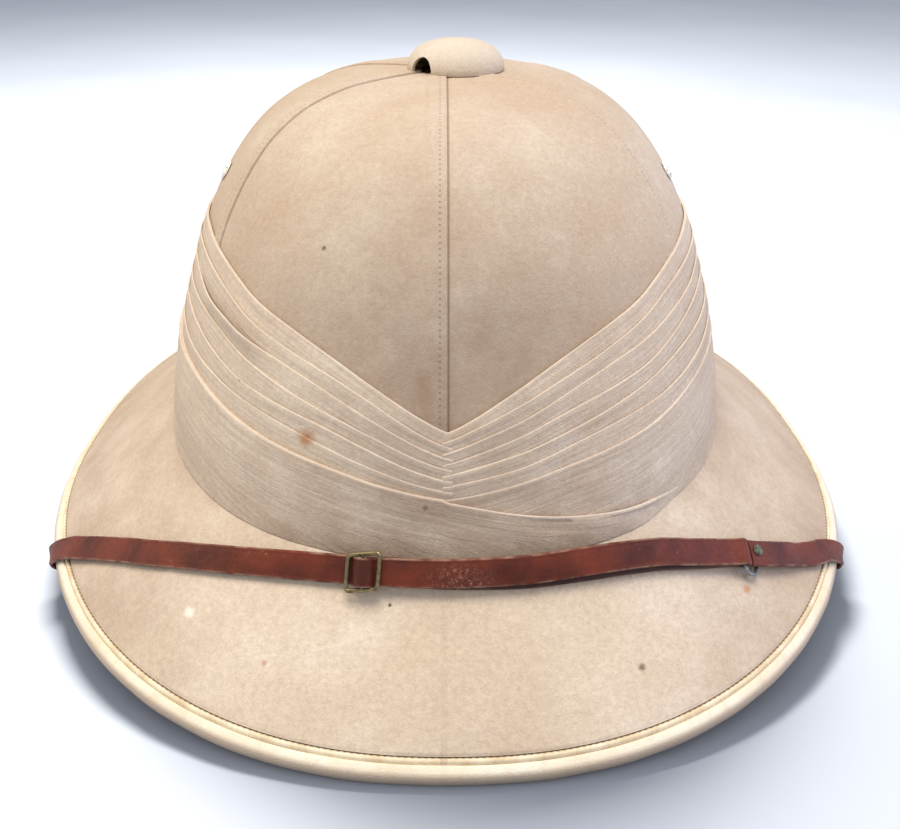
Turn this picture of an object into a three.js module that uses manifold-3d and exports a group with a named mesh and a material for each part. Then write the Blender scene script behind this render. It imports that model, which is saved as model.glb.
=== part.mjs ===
// Cloth-covered pith sun helmet with a folded cloth band, a leather rim binding and a leather chin strap
// worn up over the brim. It rests on its own brim. Millimetres, +Z up, front of the helmet towards -Y.
import * as THREE from 'three';
import { mergeVertices } from 'three/addons/utils/BufferGeometryUtils.js';
import Module from 'manifold-3d';

const wasm = await Module();
wasm.setup();

// Clearance between neighbouring pieces
const GAP = 0.3;

// Rim outline in plan, at the outermost line of the binding, and the height of the middle of its edge
const RIM_HALF_WIDTH = 141;
const RIM_FRONT = 157;
const RIM_BACK = 211;
const RIM_WIDEST_Y = (RIM_FRONT - RIM_BACK) / 2;
const RIM_SQUARE_FRONT = 2.24;
const RIM_SQUARE_BACK = 2.18;
const RIM_END_HEIGHT = 2.7;
const RIM_SIDE_HEIGHT = 17;

// Foot of the crown, at the outer face of the cloth
const FOOT_HALF_WIDTH = 92.6;
const FOOT_HALF_LENGTH = 107.8;
const FOOT_Y = -35.4;
const FOOT_SIDE_HEIGHT = 56.5;
const FOOT_END_DROP = 6.1;
const FOOT_SQUARE = 2.35;

// Dome above the foot: for a share of the climb from foot to top, the spread as a share of the foot's
// half width and half length, and the rise as a share of the height
const CROWN_HEIGHT = 104.5;
const CROWN_TOP_Y = -24;
const CROWN_PROFILE = [
  { climb: 0, spread: 1, rise: 0 },
  { climb: 0.1, spread: 0.983, rise: 0.158 },
  { climb: 0.2, spread: 0.95, rise: 0.314 },
  { climb: 0.3, spread: 0.903, rise: 0.466 },
  { climb: 0.4, spread: 0.852, rise: 0.612 },
  { climb: 0.5, spread: 0.77, rise: 0.749 },
  { climb: 0.6, spread: 0.656, rise: 0.868 },
  { climb: 0.7, spread: 0.507, rise: 0.948 },
  { climb: 0.8, spread: 0.34, rise: 0.986 },
  { climb: 0.94, spread: 0.103, rise: 0.999 },
  { climb: 1, spread: 0, rise: 1 },
];

// Walls
const CLOTH = 0.8;
const PITH_CROWN = 6.4;
const PITH_BRIM_ROOT = 5;
const PITH_BRIM_EDGE = 3.4;
const BINDING_LEATHER = 1.2;
const BINDING_TOP_REACH = 5.3;
const BINDING_UNDER_REACH = 9;
const WELT_WIDTH = 1.6;
const WELT_HEIGHT = 1.2;
const ROLL_INNER = PITH_BRIM_EDGE / 2 + GAP;
const ROLL_OUTER = ROLL_INNER + BINDING_LEATHER;
const SHELL_SINK = CLOTH + GAP;

// Meridians round the helmet, counted from the front, and the rows of the cloth up the dome
const COLUMNS = 48;
const COLUMN_STEP = 360 / COLUMNS;
const PANEL_COLUMNS = 8;
const CLIMB_ROWS = CROWN_PROFILE.slice(0, -1).map((row) => row.climb);
const INNER_ROWS = [0.16, 0.34, 0.52, 0.7, 0.86];
const BRIM_ROWS = [0, 0.35, 0.7, 1];

// Folded band: the highest and the lowest fold edge, as shares of the climb from foot to top
const BAND_EDGES = [
  { azimuth: 0, top: 0.185, low: 0.081 },
  { azimuth: 10, top: 0.24, low: 0.101 },
  { azimuth: 20, top: 0.284, low: 0.122 },
  { azimuth: 30, top: 0.315, low: 0.135 },
  { azimuth: 40, top: 0.338, low: 0.145 },
  { azimuth: 50, top: 0.365, low: 0.156 },
  { azimuth: 60, top: 0.383, low: 0.165 },
  { azimuth: 72, top: 0.395, low: 0.172 },
  { azimuth: 90, top: 0.388, low: 0.178 },
];
const FOLDS_PER_SIDE = 6;
const FOLD_LIFT = 0.5;
const FOLD_THICK = 1.7;
const FOLD_THIN = 0.7;
const FOLD_SPACE = 0.002;
const BAND_BASE_OUT = 1.4;
const BAND_WRAP_OUT = 2.5;

// Upper edge of the outer wrap where it sweeps down on the right of the front, as a share of the climb
const WRAP_SWEEP = [
  { column: 0, climb: 0.077 },
  { column: 1, climb: 0.058 },
  { column: 2, climb: 0.043 },
  { column: 3, climb: 0.031 },
  { column: 4, climb: 0.021 },
  { column: 5, climb: 0.014 },
  { column: 6, climb: 0.01 },
];

// Chin strap on the brim: azimuth, share of the way from crown foot to rim, lean towards the crown
const STRAP_ON_BRIM = [
  { azimuth: -66.5, across: 0.9, lean: 0 },
  { azimuth: -62, across: 0.76, lean: 0 },
  { azimuth: -55, across: 0.58, lean: 0 },
  { azimuth: -48, across: 0.45, lean: 0 },
  { azimuth: -42, across: 0.352, lean: 0 },
  { azimuth: -35.5, across: 0.272, lean: 3 },
  { azimuth: -29.5, across: 0.215, lean: 6 },
  { azimuth: -19.5, across: 0.15, lean: 12 },
  { azimuth: -10, across: 0.118, lean: 16 },
  { azimuth: 0, across: 0.108, lean: 18 },
  { azimuth: 11, across: 0.11, lean: 16 },
  { azimuth: 23.5, across: 0.137, lean: 9 },
  { azimuth: 34.4, across: 0.226, lean: 3 },
  { azimuth: 40, across: 0.3, lean: 0 },
  { azimuth: 45.2, across: 0.387, lean: 0 },
  { azimuth: 53, across: 0.57, lean: 0 },
  { azimuth: 59.6, across: 0.752, lean: 0 },
  { azimuth: 66, across: 0.9, lean: 0 },
];
// Hidden stretch: round the rim, back under the brim and up the inside of the crown at the side
const STRAP_UNDER_BRIM = [
  { azimuth: 72.5, across: 0.84 },
  { azimuth: 78, across: 0.62 },
  { azimuth: 85, across: 0.38 },
  { azimuth: 90.5, across: 0.17 },
];
const STRAP_INSIDE = [
  { azimuth: 91, share: 0 },
  { azimuth: 91, share: 0.3 },
  { azimuth: 91, share: 0.65 },
  { azimuth: 91, share: 1 },
];
const STRAP_ROUND_RIM = [
  { azimuth: 68, turn: 75 },
  { azimuth: 68.6, turn: 35 },
  { azimuth: 69.2, turn: -5 },
  { azimuth: 69.8, turn: -45 },
  { azimuth: 70.4, turn: -80 },
];
const STRAP_WIDTH = 8.2;
const STRAP_THICK = 1.3;
const STRAP_AIR = 0.5;
const STRAP_LIFT = GAP + STRAP_THICK / 2;
const STRAP_HIDDEN_LIFT = STRAP_LIFT + STRAP_AIR;
const STRAP_LAYER = STRAP_THICK + GAP;
// Where the buckle and the hook stand, as shares of the strap's run on the brim from left to right
const BUCKLE_SHARE = 0.4203;
const HOOK_SHARE = 0.828;

// The long strap's way through the buckle, from the buckle's middle, and round the hook
const WEAVE = [
  { along: -8.5, lift: 1 },
  { along: -4.5, lift: 1.2 },
  { along: -2.8, lift: 2.2 },
  { along: -1.4, lift: 4.6 },
  { along: 0, lift: 5.3 },
  { along: 1.4, lift: 4.9 },
  { along: 2.9, lift: 3.2 },
  { along: 4.5, lift: 2.65 },
  { along: 7, lift: 2.65 },
];
const TUCKED_END = [
  { along: 5.5, lift: 0.95 },
  { along: 3.2, lift: 1.35 },
  { along: 0.6, lift: 1.9 },
];
const DOUBLED_SHARES = [0.12, 0.24, 0.37, 0.5, 0.62, 0.74, 0.86];
// Fold round the hook: distance along from the wire's middle, and height over it
const HAIRPIN = [
  { along: -3, above: 0.7 },
  { along: -1, above: 1.55 },
  { along: 0.2, above: 1.6 },
  { along: 1.2, above: 1.1 },
  { along: 1.65, above: 0 },
  { along: 1.2, above: -1.1 },
  { along: 0.2, above: -1.6 },
  { along: -1, above: -1.55 },
  { along: -3, above: -1.4 },
];
// Short strap from the rim to the hook: share of the way back from the rim's edge, and its middle's height
const TAB_ON_BRIM = [
  { back: 0.184, lift: 1.4 },
  { back: 0.367, lift: 1.2 },
  { back: 0.53, lift: 2.2 },
];
const TAB_ENDS = [7.5, 3.2];

// Buckle frame
const BUCKLE_ALONG = 10.4;
const BUCKLE_ACROSS = 11.4;
const BUCKLE_BAR = 1.3;
const BUCKLE_LEFT_LIFT = 2.9;
const BUCKLE_RIGHT_LIFT = 4.3;

// Hook, rivet and inside studs
const HOOK_WIRE = 1.3;
const HOOK_LIFT = 2.6;
const HOOK_BENDS = [
  { along: 0, across: 4.4, lift: HOOK_LIFT },
  { along: 0, across: 0, lift: HOOK_LIFT },
  { along: 0, across: -4.8, lift: HOOK_LIFT },
  { along: 1.4, across: -6.1, lift: 2.2 },
  { along: 4, across: -6.2, lift: 1.6 },
  { along: 6, across: -4.6, lift: 1 },
  { along: 6.6, across: 0, lift: 1 },
];
const RIVET_ALONG = 6;
const RIVET_ACROSS = 0.8;
const RIVET_RADIUS = 1.7;
const RIVET_HEIGHT = 0.9;
const STUD_RADIUS = 4;
const STUD_HEIGHT = 1.6;

// Vent cap on top and eyelets at the sides
const CAP_RADIUS = 16.1;
const CAP_HEIGHT = 9.9;
const CAP_WALL = 1.2;
const CAP_OFFSET_X = 3.1;
const CAP_CLEAR = 0.5;
const CAP_NOTCH_AZIMUTH = -47;
const CAP_NOTCH_RADIUS = 4.6;
const CAP_PIN_RADIUS = 4;
const EYELET_RADIUS = 3.2;
const EYELET_HOLE = 1.5;
const EYELET_HEIGHT = 0.9;
const EYELET_AZIMUTH = 79;
const EYELET_CLIMB = 0.48;

const clothTan = new THREE.MeshStandardMaterial({ color: 0xcdb79c, roughness: 0.95, metalness: 0 });
const clothBand = new THREE.MeshStandardMaterial({ color: 0xd0b9a0, roughness: 0.95, metalness: 0 });
const pith = new THREE.MeshStandardMaterial({ color: 0xc9b48f, roughness: 0.97, metalness: 0 });
const bindingLeather = new THREE.MeshStandardMaterial({ color: 0xe6d6b8, roughness: 0.7, metalness: 0 });
const strapLeather = new THREE.MeshStandardMaterial({ color: 0x6b3a30, roughness: 0.45, metalness: 0 });
const brass = new THREE.MeshStandardMaterial({ color: 0x9a8350, roughness: 0.4, metalness: 1 });
const steel = new THREE.MeshStandardMaterial({ color: 0x8c8f92, roughness: 0.4, metalness: 1 });

const helmet = new THREE.Group();
helmet.name = 'pith_helmet';

function radians(degrees) {
  return degrees * Math.PI / 180;
}

function signedPower(value, exponent) {
  return Math.sign(value) * Math.abs(value) ** exponent;
}

function mix(from, to, share) {
  return from.clone().lerp(to, share);
}

// A value read from a table by straight lines between its rows
function tableValue(rows, key, column, at) {
  for (let i = 1; i < rows.length; i += 1) {
    if (at <= rows[i][key] || i === rows.length - 1) {
      const share = (at - rows[i - 1][key]) / (rows[i][key] - rows[i - 1][key]);
      return rows[i - 1][column] + (rows[i][column] - rows[i - 1][column]) * share;
    }
  }
  return rows[0][column];
}

function rimPoint(azimuth) {
  const side = Math.sin(radians(azimuth));
  const ahead = Math.cos(radians(azimuth));
  const square = ahead > 0 ? RIM_SQUARE_FRONT : RIM_SQUARE_BACK;
  const reach = ahead > 0 ? -RIM_FRONT : RIM_BACK;
  const height = RIM_END_HEIGHT + (RIM_SIDE_HEIGHT - RIM_END_HEIGHT) * side * side;
  return new THREE.Vector3(
    RIM_HALF_WIDTH * signedPower(side, 2 / square),
    RIM_WIDEST_Y + reach * Math.abs(ahead) ** (2 / square),
    height,
  );
}

function crownPoint(azimuth, climb) {
  const side = Math.sin(radians(azimuth));
  const ahead = Math.cos(radians(azimuth));
  const spread = tableValue(CROWN_PROFILE, 'climb', 'spread', climb);
  const rise = tableValue(CROWN_PROFILE, 'climb', 'rise', climb);
  const square = FOOT_SQUARE * (1 - rise) + 2 * rise;
  const centreY = FOOT_Y + (CROWN_TOP_Y - FOOT_Y) * rise;
  return new THREE.Vector3(
    FOOT_HALF_WIDTH * spread * signedPower(side, 2 / square),
    centreY - FOOT_HALF_LENGTH * spread * signedPower(ahead, 2 / square),
    FOOT_SIDE_HEIGHT - FOOT_END_DROP * ahead * ahead * (1 - rise) + CROWN_HEIGHT * rise,
  );
}

function crownNormal(azimuth, climb) {
  if (climb > 0.97) {
    return new THREE.Vector3(0, 0, 1);
  }
  const round = crownPoint(azimuth + 0.5, climb).sub(crownPoint(azimuth - 0.5, climb));
  const upward = crownPoint(azimuth, climb + 0.01).sub(crownPoint(azimuth, Math.max(climb - 0.01, 0)));
  return round.cross(upward).normalize();
}

function crownOut(azimuth, climb, out) {
  return crownPoint(azimuth, climb).addScaledVector(crownNormal(azimuth, climb), out);
}

// The crown as its rows make it: straight between rows, so that every layer on it has the same facets
function crownSkin(column, climb, out) {
  const azimuth = column * COLUMN_STEP;
  let row = 1;
  while (row < CLIMB_ROWS.length - 1 && climb > CLIMB_ROWS[row]) {
    row += 1;
  }
  const share = (climb - CLIMB_ROWS[row - 1]) / (CLIMB_ROWS[row] - CLIMB_ROWS[row - 1]);
  return mix(crownOut(azimuth, CLIMB_ROWS[row - 1], out), crownOut(azimuth, CLIMB_ROWS[row], out), share);
}

// Frame of the brim on one meridian: its two ends, its normal and the centre of the rolled edge
function brimFrame(azimuth) {
  const foot = crownPoint(azimuth, 0);
  const rim = rimPoint(azimuth);
  const alongRim = rimPoint(azimuth + 0.5).sub(rimPoint(azimuth - 0.5)).normalize();
  const outward = rim.clone().sub(foot).normalize();
  const normal = outward.clone().cross(alongRim).normalize();
  if (normal.z < 0) {
    normal.negate();
  }
  const squareOut = alongRim.clone().cross(normal).normalize();
  if (squareOut.dot(outward) < 0) {
    squareOut.negate();
  }
  const levelOut = new THREE.Vector3(squareOut.x, squareOut.y, 0).normalize();
  const roll = rim.clone().addScaledVector(levelOut, -ROLL_OUTER);
  const edge = roll.clone().addScaledVector(normal, PITH_BRIM_EDGE / 2 + SHELL_SINK);
  return { foot, edge, roll, normal, squareOut, length: edge.distanceTo(foot) };
}

function brimTop(azimuth, across, out) {
  const frame = brimFrame(azimuth);
  return mix(frame.foot, frame.edge, across).addScaledVector(frame.normal, out);
}

function brimUnder(azimuth, across, out) {
  const thick = PITH_BRIM_ROOT + (PITH_BRIM_EDGE - PITH_BRIM_ROOT) * across;
  return brimTop(azimuth, across, -SHELL_SINK - thick - out);
}

// Point on a circle round the centre of the rolled edge; turn 90 is straight off the brim's top
function rollPoint(azimuth, turn, radius) {
  const frame = brimFrame(azimuth);
  return frame.roll.clone()
    .addScaledVector(frame.squareOut, radius * Math.cos(radians(turn)))
    .addScaledVector(frame.normal, radius * Math.sin(radians(turn)));
}

// Corner between crown and brim, set off from both faces
function footCorner(azimuth, crownDepth, brimDepth) {
  const wall = crownNormal(azimuth, 0);
  const floor = brimFrame(azimuth).normal;
  const cosine = wall.dot(floor);
  const scale = 1 - cosine * cosine;
  return crownPoint(azimuth, 0)
    .addScaledVector(wall, -(crownDepth - brimDepth * cosine) / scale)
    .addScaledVector(floor, -(brimDepth - crownDepth * cosine) / scale);
}

function solid(points, triangles) {
  let volume = 0;
  for (const [a, b, c] of triangles) {
    volume += points[a].dot(points[b].clone().cross(points[c]));
  }
  const index = triangles.flatMap(([a, b, c]) => (volume < 0 ? [a, c, b] : [a, b, c]));
  const geometry = new THREE.BufferGeometry();
  geometry.setAttribute('position', new THREE.Float32BufferAttribute(points.flatMap((p) => p.toArray()), 3));
  geometry.setIndex(index);
  geometry.computeVertexNormals();
  return geometry;
}

// Rings of points joined in order; a ring of one point is a pole, and a looped set joins last to first
function ringSolid(rings, looped) {
  const points = rings.flat();
  const starts = [];
  let count = 0;
  for (const ring of rings) {
    starts.push(count);
    count += ring.length;
  }
  const triangles = [];
  const last = looped ? rings.length : rings.length - 1;
  for (let r = 0; r < last; r += 1) {
    const next = (r + 1) % rings.length;
    const round = Math.max(rings[r].length, rings[next].length);
    for (let i = 0; i < round; i += 1) {
      const j = (i + 1) % round;
      const a = starts[r] + (rings[r].length === 1 ? 0 : i);
      const b = starts[r] + (rings[r].length === 1 ? 0 : j);
      const c = starts[next] + (rings[next].length === 1 ? 0 : j);
      const d = starts[next] + (rings[next].length === 1 ? 0 : i);
      if (a !== b) {
        triangles.push([a, b, c]);
      }
      if (c !== d) {
        triangles.push([a, c, d]);
      }
    }
  }
  return solid(points, triangles);
}

// Slab between a face and a back that pair up point by point, carried along its sections,
// closed at both ends
function ladderSolid(sections) {
  const width = sections[0].face.length;
  const points = sections.flatMap((section) => [...section.face, ...section.back]);
  const face = (s, i) => s * 2 * width + i;
  const back = (s, i) => s * 2 * width + width + i;
  const triangles = [];
  const quad = (a, b, c, d) => triangles.push([a, b, c], [a, c, d]);
  const last = sections.length - 1;
  for (let s = 0; s < last; s += 1) {
    for (let i = 0; i < width - 1; i += 1) {
      quad(face(s, i), face(s, i + 1), face(s + 1, i + 1), face(s + 1, i));
      quad(back(s, i), back(s + 1, i), back(s + 1, i + 1), back(s, i + 1));
    }
    quad(face(s, 0), face(s + 1, 0), back(s + 1, 0), back(s, 0));
    quad(face(s, width - 1), back(s, width - 1), back(s + 1, width - 1), face(s + 1, width - 1));
  }
  for (let i = 0; i < width - 1; i += 1) {
    quad(face(0, i), back(0, i), back(0, i + 1), face(0, i + 1));
    quad(face(last, i), face(last, i + 1), back(last, i + 1), back(last, i));
  }
  return solid(points, triangles);
}

function add(name, geometry, material) {
  const mesh = new THREE.Mesh(geometry, material);
  mesh.name = name;
  helmet.add(mesh);
}

function ring(pointAt) {
  return Array.from({ length: COLUMNS }, (unused, column) => pointAt(column * COLUMN_STEP, column));
}

function toManifold(geometry) {
  const bare = geometry.clone();
  bare.deleteAttribute('normal');
  bare.deleteAttribute('uv');
  const merged = mergeVertices(bare, 1e-4);
  return new wasm.Manifold(new wasm.Mesh({
    numProp: 3,
    vertProperties: new Float32Array(merged.attributes.position.array),
    triVerts: new Uint32Array(merged.index.array),
  }));
}

function fromManifold(body) {
  const mesh = body.getMesh();
  const geometry = new THREE.BufferGeometry();
  geometry.setAttribute('position', new THREE.Float32BufferAttribute(mesh.vertProperties, 3));
  geometry.setIndex(Array.from(mesh.triVerts));
  geometry.computeVertexNormals();
  return geometry;
}

// Pith body: crown and brim moulded in one, hollow from below
const shellRings = [[crownOut(0, 1, -SHELL_SINK)]];
for (const climb of CLIMB_ROWS.slice(1).reverse()) {
  shellRings.push(ring((azimuth) => crownOut(azimuth, climb, -SHELL_SINK)));
}
shellRings.push(ring((azimuth) => footCorner(azimuth, SHELL_SINK, SHELL_SINK)));
for (const across of BRIM_ROWS.slice(1)) {
  shellRings.push(ring((azimuth) => brimTop(azimuth, across, -SHELL_SINK)));
}
shellRings.push(ring((azimuth) => rollPoint(azimuth, 0, PITH_BRIM_EDGE / 2)));
for (const across of BRIM_ROWS.slice(1).reverse()) {
  shellRings.push(ring((azimuth) => brimUnder(azimuth, across, 0)));
}
const innerCorner = [SHELL_SINK + PITH_CROWN, SHELL_SINK + PITH_BRIM_ROOT];
shellRings.push(ring((azimuth) => footCorner(azimuth, ...innerCorner)));
for (const climb of INNER_ROWS) {
  shellRings.push(ring((azimuth) => crownOut(azimuth, climb, -SHELL_SINK - PITH_CROWN)));
}
shellRings.push([crownOut(0, 1, -SHELL_SINK - PITH_CROWN)]);
add('pith_body', ringSolid(shellRings, false), pith);

// Cloth cover of the crown: six panels that meet in seams from foot to vent cap
for (let panel = 0; panel < COLUMNS / PANEL_COLUMNS; panel += 1) {
  const sections = [];
  for (let step = 0; step <= PANEL_COLUMNS; step += 1) {
    const column = panel * PANEL_COLUMNS + step;
    const section = { face: [], back: [] };
    for (const climb of CLIMB_ROWS) {
      const here = [crownSkin(column, climb, 0), crownSkin(column, climb, -CLOTH)];
      if (step === 0 || step === PANEL_COLUMNS) {
        const inner = column + (step === 0 ? 1 : -1);
        const toward = [crownSkin(inner, climb, 0), crownSkin(inner, climb, -CLOTH)];
        const share = GAP * 0.6 / here[0].distanceTo(toward[0]);
        here[0].lerp(toward[0], share);
        here[1].lerp(toward[1], share);
      }
      section.face.push(here[0]);
      section.back.push(here[1]);
    }
    sections.push(section);
  }
  add(`cover_panel_${panel + 1}`, ladderSolid(sections), clothTan);
}

// Cloth cover of the brim, from the crown's foot to the welt
const brimStop = BINDING_TOP_REACH - ROLL_OUTER + WELT_WIDTH + 2 * GAP;
const brimEnd = (azimuth) => 1 - brimStop / brimFrame(azimuth).length;
const brimStart = (azimuth) => 1.5 * GAP / brimFrame(azimuth).length;
const coverRings = [];
for (const out of [0, -CLOTH]) {
  const rows = [
    ring((azimuth) => brimTop(azimuth, brimStart(azimuth), out)),
    ring((azimuth) => brimTop(azimuth, BRIM_ROWS[1], out)),
    ring((azimuth) => brimTop(azimuth, BRIM_ROWS[2], out)),
    ring((azimuth) => brimTop(azimuth, brimEnd(azimuth), out)),
  ];
  coverRings.push(...(out === 0 ? rows : rows.reverse()));
}
add('brim_cover', ringSolid(coverRings, true), clothTan);

// Welt: a narrow strip stitched between the cloth and the binding
const weltRings = [];
for (const [inset, out] of [[0, 0], [0, 1], [1, 1], [1, 0]]) {
  weltRings.push(ring((azimuth) => {
    const fromRoll = BINDING_TOP_REACH - ROLL_OUTER + GAP + WELT_WIDTH * inset;
    return brimTop(azimuth, 1 - fromRoll / brimFrame(azimuth).length, GAP - SHELL_SINK + WELT_HEIGHT * out);
  }));
}
add('edge_welt', ringSolid(weltRings, true), bindingLeather);

// Leather binding folded round the rim; its underside is pressed flat where the helmet stands on it
function legPoint(azimuth, under, out) {
  const reach = (under ? BINDING_UNDER_REACH : BINDING_TOP_REACH) - ROLL_OUTER;
  const across = 1 - reach / brimFrame(azimuth).length;
  if (under) {
    return brimUnder(azimuth, across, out);
  }
  return brimTop(azimuth, across, out - SHELL_SINK);
}
const bindingRings = [ring((azimuth) => legPoint(azimuth, false, GAP + BINDING_LEATHER))];
for (const turn of [90, 54, 18, -18, -54, -90]) {
  bindingRings.push(ring((azimuth) => rollPoint(azimuth, turn, ROLL_OUTER)));
}
bindingRings.push(ring((azimuth) => legPoint(azimuth, true, GAP + BINDING_LEATHER)));
bindingRings.push(ring((azimuth) => legPoint(azimuth, true, GAP)));
for (const turn of [-90, -30, 30, 90]) {
  bindingRings.push(ring((azimuth) => rollPoint(azimuth, turn, ROLL_INNER)));
}
bindingRings.push(ring((azimuth) => legPoint(azimuth, false, GAP)));
for (const point of bindingRings.flat()) {
  point.z = Math.max(point.z, 0);
}
add('edge_binding', ringSolid(bindingRings, true), bindingLeather);

// Fold edges of the band, the same at both sides and mirrored from front to back
function foldClimb(column, edge) {
  const azimuth = Math.abs(column) * COLUMN_STEP;
  const folded = azimuth > 90 ? 180 - azimuth : azimuth;
  const top = tableValue(BAND_EDGES, 'azimuth', 'top', folded);
  const low = tableValue(BAND_EDGES, 'azimuth', 'low', folded);
  return top + (low - top) * edge / FOLDS_PER_SIDE;
}

for (const side of [1, -1]) {
  for (let fold = 0; fold < FOLDS_PER_SIDE; fold += 1) {
    const sections = [];
    for (let step = 0; step <= COLUMNS / 2; step += 1) {
      const column = step * side;
      const nudge = new THREE.Vector3(step === 0 || step === COLUMNS / 2 ? side * GAP / 2 : 0, 0, 0);
      const high = foldClimb(column, fold);
      const low = foldClimb(column, fold + 1) + FOLD_SPACE;
      const at = (climb, out) => crownSkin(column, climb, out).add(nudge);
      sections.push({
        face: [at(low, FOLD_LIFT + FOLD_THIN), at(high, FOLD_LIFT + FOLD_THICK)],
        back: [at(low, FOLD_LIFT), at(high, FOLD_LIFT)],
      });
    }
    add(`fold_${side > 0 ? 'right' : 'left'}_${fold + 1}`, ladderSolid(sections), clothBand);
  }
}

// Plain lower part of the band, standing on the brim
function bandFoot(column, out) {
  const azimuth = column * COLUMN_STEP;
  const wall = crownNormal(azimuth, 0);
  const floor = brimFrame(azimuth).normal;
  const cosine = wall.dot(floor);
  const scale = 1 - cosine * cosine;
  return crownPoint(azimuth, 0)
    .addScaledVector(wall, (out - GAP * cosine) / scale)
    .addScaledVector(floor, (GAP - out * cosine) / scale);
}
const baseTop = (column) => foldClimb(column > COLUMNS / 2 ? COLUMNS - column : column, FOLDS_PER_SIDE);
const baseRings = [];
for (const out of [BAND_BASE_OUT, FOLD_LIFT]) {
  const rows = [
    ring((azimuth, column) => bandFoot(column, out)),
    ring((azimuth, column) => crownSkin(column, Math.min(CLIMB_ROWS[1], baseTop(column) - 0.02), out)),
    ring((azimuth, column) => crownSkin(column, baseTop(column), out)),
  ];
  baseRings.push(...(out === FOLD_LIFT ? rows.reverse() : rows));
}
add('band_base', ringSolid(baseRings, true), clothBand);

// Outer wrap of the band: it covers the left side and sweeps down into the foot right of the front
const wrapSections = [];
for (let column = -COLUMNS / 2; column <= 6; column += 1) {
  const swept = tableValue(WRAP_SWEEP, 'column', 'climb', column);
  const top = column < 0 ? foldClimb(column, FOLDS_PER_SIDE) : swept;
  const section = { face: [], back: [] };
  for (const [list, out] of [[section.face, BAND_WRAP_OUT], [section.back, BAND_BASE_OUT + GAP]]) {
    const foot = bandFoot(column, out);
    const high = crownSkin(column, top, out);
    const clearsRow = top > CLIMB_ROWS[1] + 0.02;
    const between = clearsRow ? crownSkin(column, CLIMB_ROWS[1], out) : mix(foot, high, 0.6);
    list.push(foot, between, high);
  }
  wrapSections.push(section);
}
add('band_wrap', ladderSolid(wrapSections), clothBand);

// Vent cap: a low dome with one arched opening, on a pin that stands on the crown
const capOuter = [[1, 0], [0.99, 0.24], [0.9, 0.52], [0.7, 0.77], [0.4, 0.94]];
const capProfile = [new THREE.Vector2(0, CAP_HEIGHT)];
for (const [radius, height] of [...capOuter].reverse()) {
  capProfile.push(new THREE.Vector2(radius * CAP_RADIUS, height * CAP_HEIGHT));
}
for (const [radius, height] of capOuter.slice(0, 4)) {
  const inner = radius * (CAP_RADIUS - CAP_WALL);
  capProfile.push(new THREE.Vector2(inner, height * (CAP_HEIGHT - CAP_WALL)));
}
capProfile.push(new THREE.Vector2(0, CAP_HEIGHT - CAP_WALL));
const capBody = new THREE.LatheGeometry(capProfile.reverse(), 20);
capBody.rotateX(Math.PI / 2);
const notch = new THREE.CylinderGeometry(CAP_NOTCH_RADIUS, CAP_NOTCH_RADIUS, CAP_RADIUS, 12);
notch.translate(0, -CAP_RADIUS, 0);
notch.rotateZ(radians(CAP_NOTCH_AZIMUTH));
notch.translate(0, 0, 0.6);
const cap = fromManifold(toManifold(capBody).subtract(toManifold(notch)));
const capBase = crownPoint(0, 1).z + CAP_CLEAR;
cap.translate(CAP_OFFSET_X, CROWN_TOP_Y, capBase);
add('vent_cap', cap, clothTan);

const pinFoot = crownPoint(0, 1).z - SHELL_SINK + GAP;
const pinTop = capBase + (CAP_HEIGHT - CAP_WALL) * 0.77;
const pin = new THREE.CylinderGeometry(CAP_PIN_RADIUS, CAP_PIN_RADIUS, pinTop - pinFoot, 12);
pin.rotateX(Math.PI / 2);
pin.translate(0, CROWN_TOP_Y, (pinTop + pinFoot) / 2);
add('vent_pin', pin, steel);

// Eyelets that air the crown at the sides
for (const side of [1, -1]) {
  const profile = [
    new THREE.Vector2(EYELET_RADIUS, 0),
    new THREE.Vector2((EYELET_RADIUS + EYELET_HOLE) / 2, EYELET_HEIGHT),
    new THREE.Vector2(EYELET_HOLE, EYELET_HEIGHT * 0.6),
    new THREE.Vector2(EYELET_HOLE, 0),
    new THREE.Vector2(EYELET_RADIUS, 0),
  ];
  const eyelet = new THREE.LatheGeometry(profile, 14);
  const azimuth = EYELET_AZIMUTH * side;
  const normal = crownNormal(azimuth, EYELET_CLIMB);
  eyelet.applyQuaternion(new THREE.Quaternion().setFromUnitVectors(new THREE.Vector3(0, 1, 0), normal));
  const seat = crownSkin(azimuth / COLUMN_STEP, EYELET_CLIMB, GAP);
  eyelet.translate(seat.x, seat.y, seat.z);
  add(side > 0 ? 'eyelet_right' : 'eyelet_left', eyelet, brass);
}

// Line of the chin strap on the brim, measured in millimetres from the middle of the front
const strapSeats = new THREE.CatmullRomCurve3(
  STRAP_ON_BRIM.map((row) => brimTop(row.azimuth, row.across, 0)),
);
const strapNormals = new THREE.CatmullRomCurve3(STRAP_ON_BRIM.map((row) => brimFrame(row.azimuth).normal));
const strapTrack = [];
for (let i = 0; i <= 280; i += 1) {
  const seat = strapSeats.getPoint(i / 280);
  const before = strapTrack[strapTrack.length - 1];
  const along = strapSeats.getTangent(i / 280);
  const azimuthRow = i / 20;
  const row = Math.min(Math.floor(azimuthRow), STRAP_ON_BRIM.length - 2);
  const share = azimuthRow - row;
  const lean = STRAP_ON_BRIM[row].lean * (1 - share) + STRAP_ON_BRIM[row + 1].lean * share;
  const normal = strapNormals.getPoint(i / 280).normalize().applyAxisAngle(along, radians(lean));
  seat.addScaledVector(normal, STRAP_AIR + Math.sin(radians(lean)) * STRAP_WIDTH / 2);
  strapTrack.push({ seat, along, normal, run: before ? before.run + seat.distanceTo(before.seat) : 0 });
}
const STRAP_RUN_END = strapTrack[strapTrack.length - 1].run;
const BUCKLE_RUN = STRAP_RUN_END * BUCKLE_SHARE;
const HOOK_RUN = STRAP_RUN_END * HOOK_SHARE;

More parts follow.
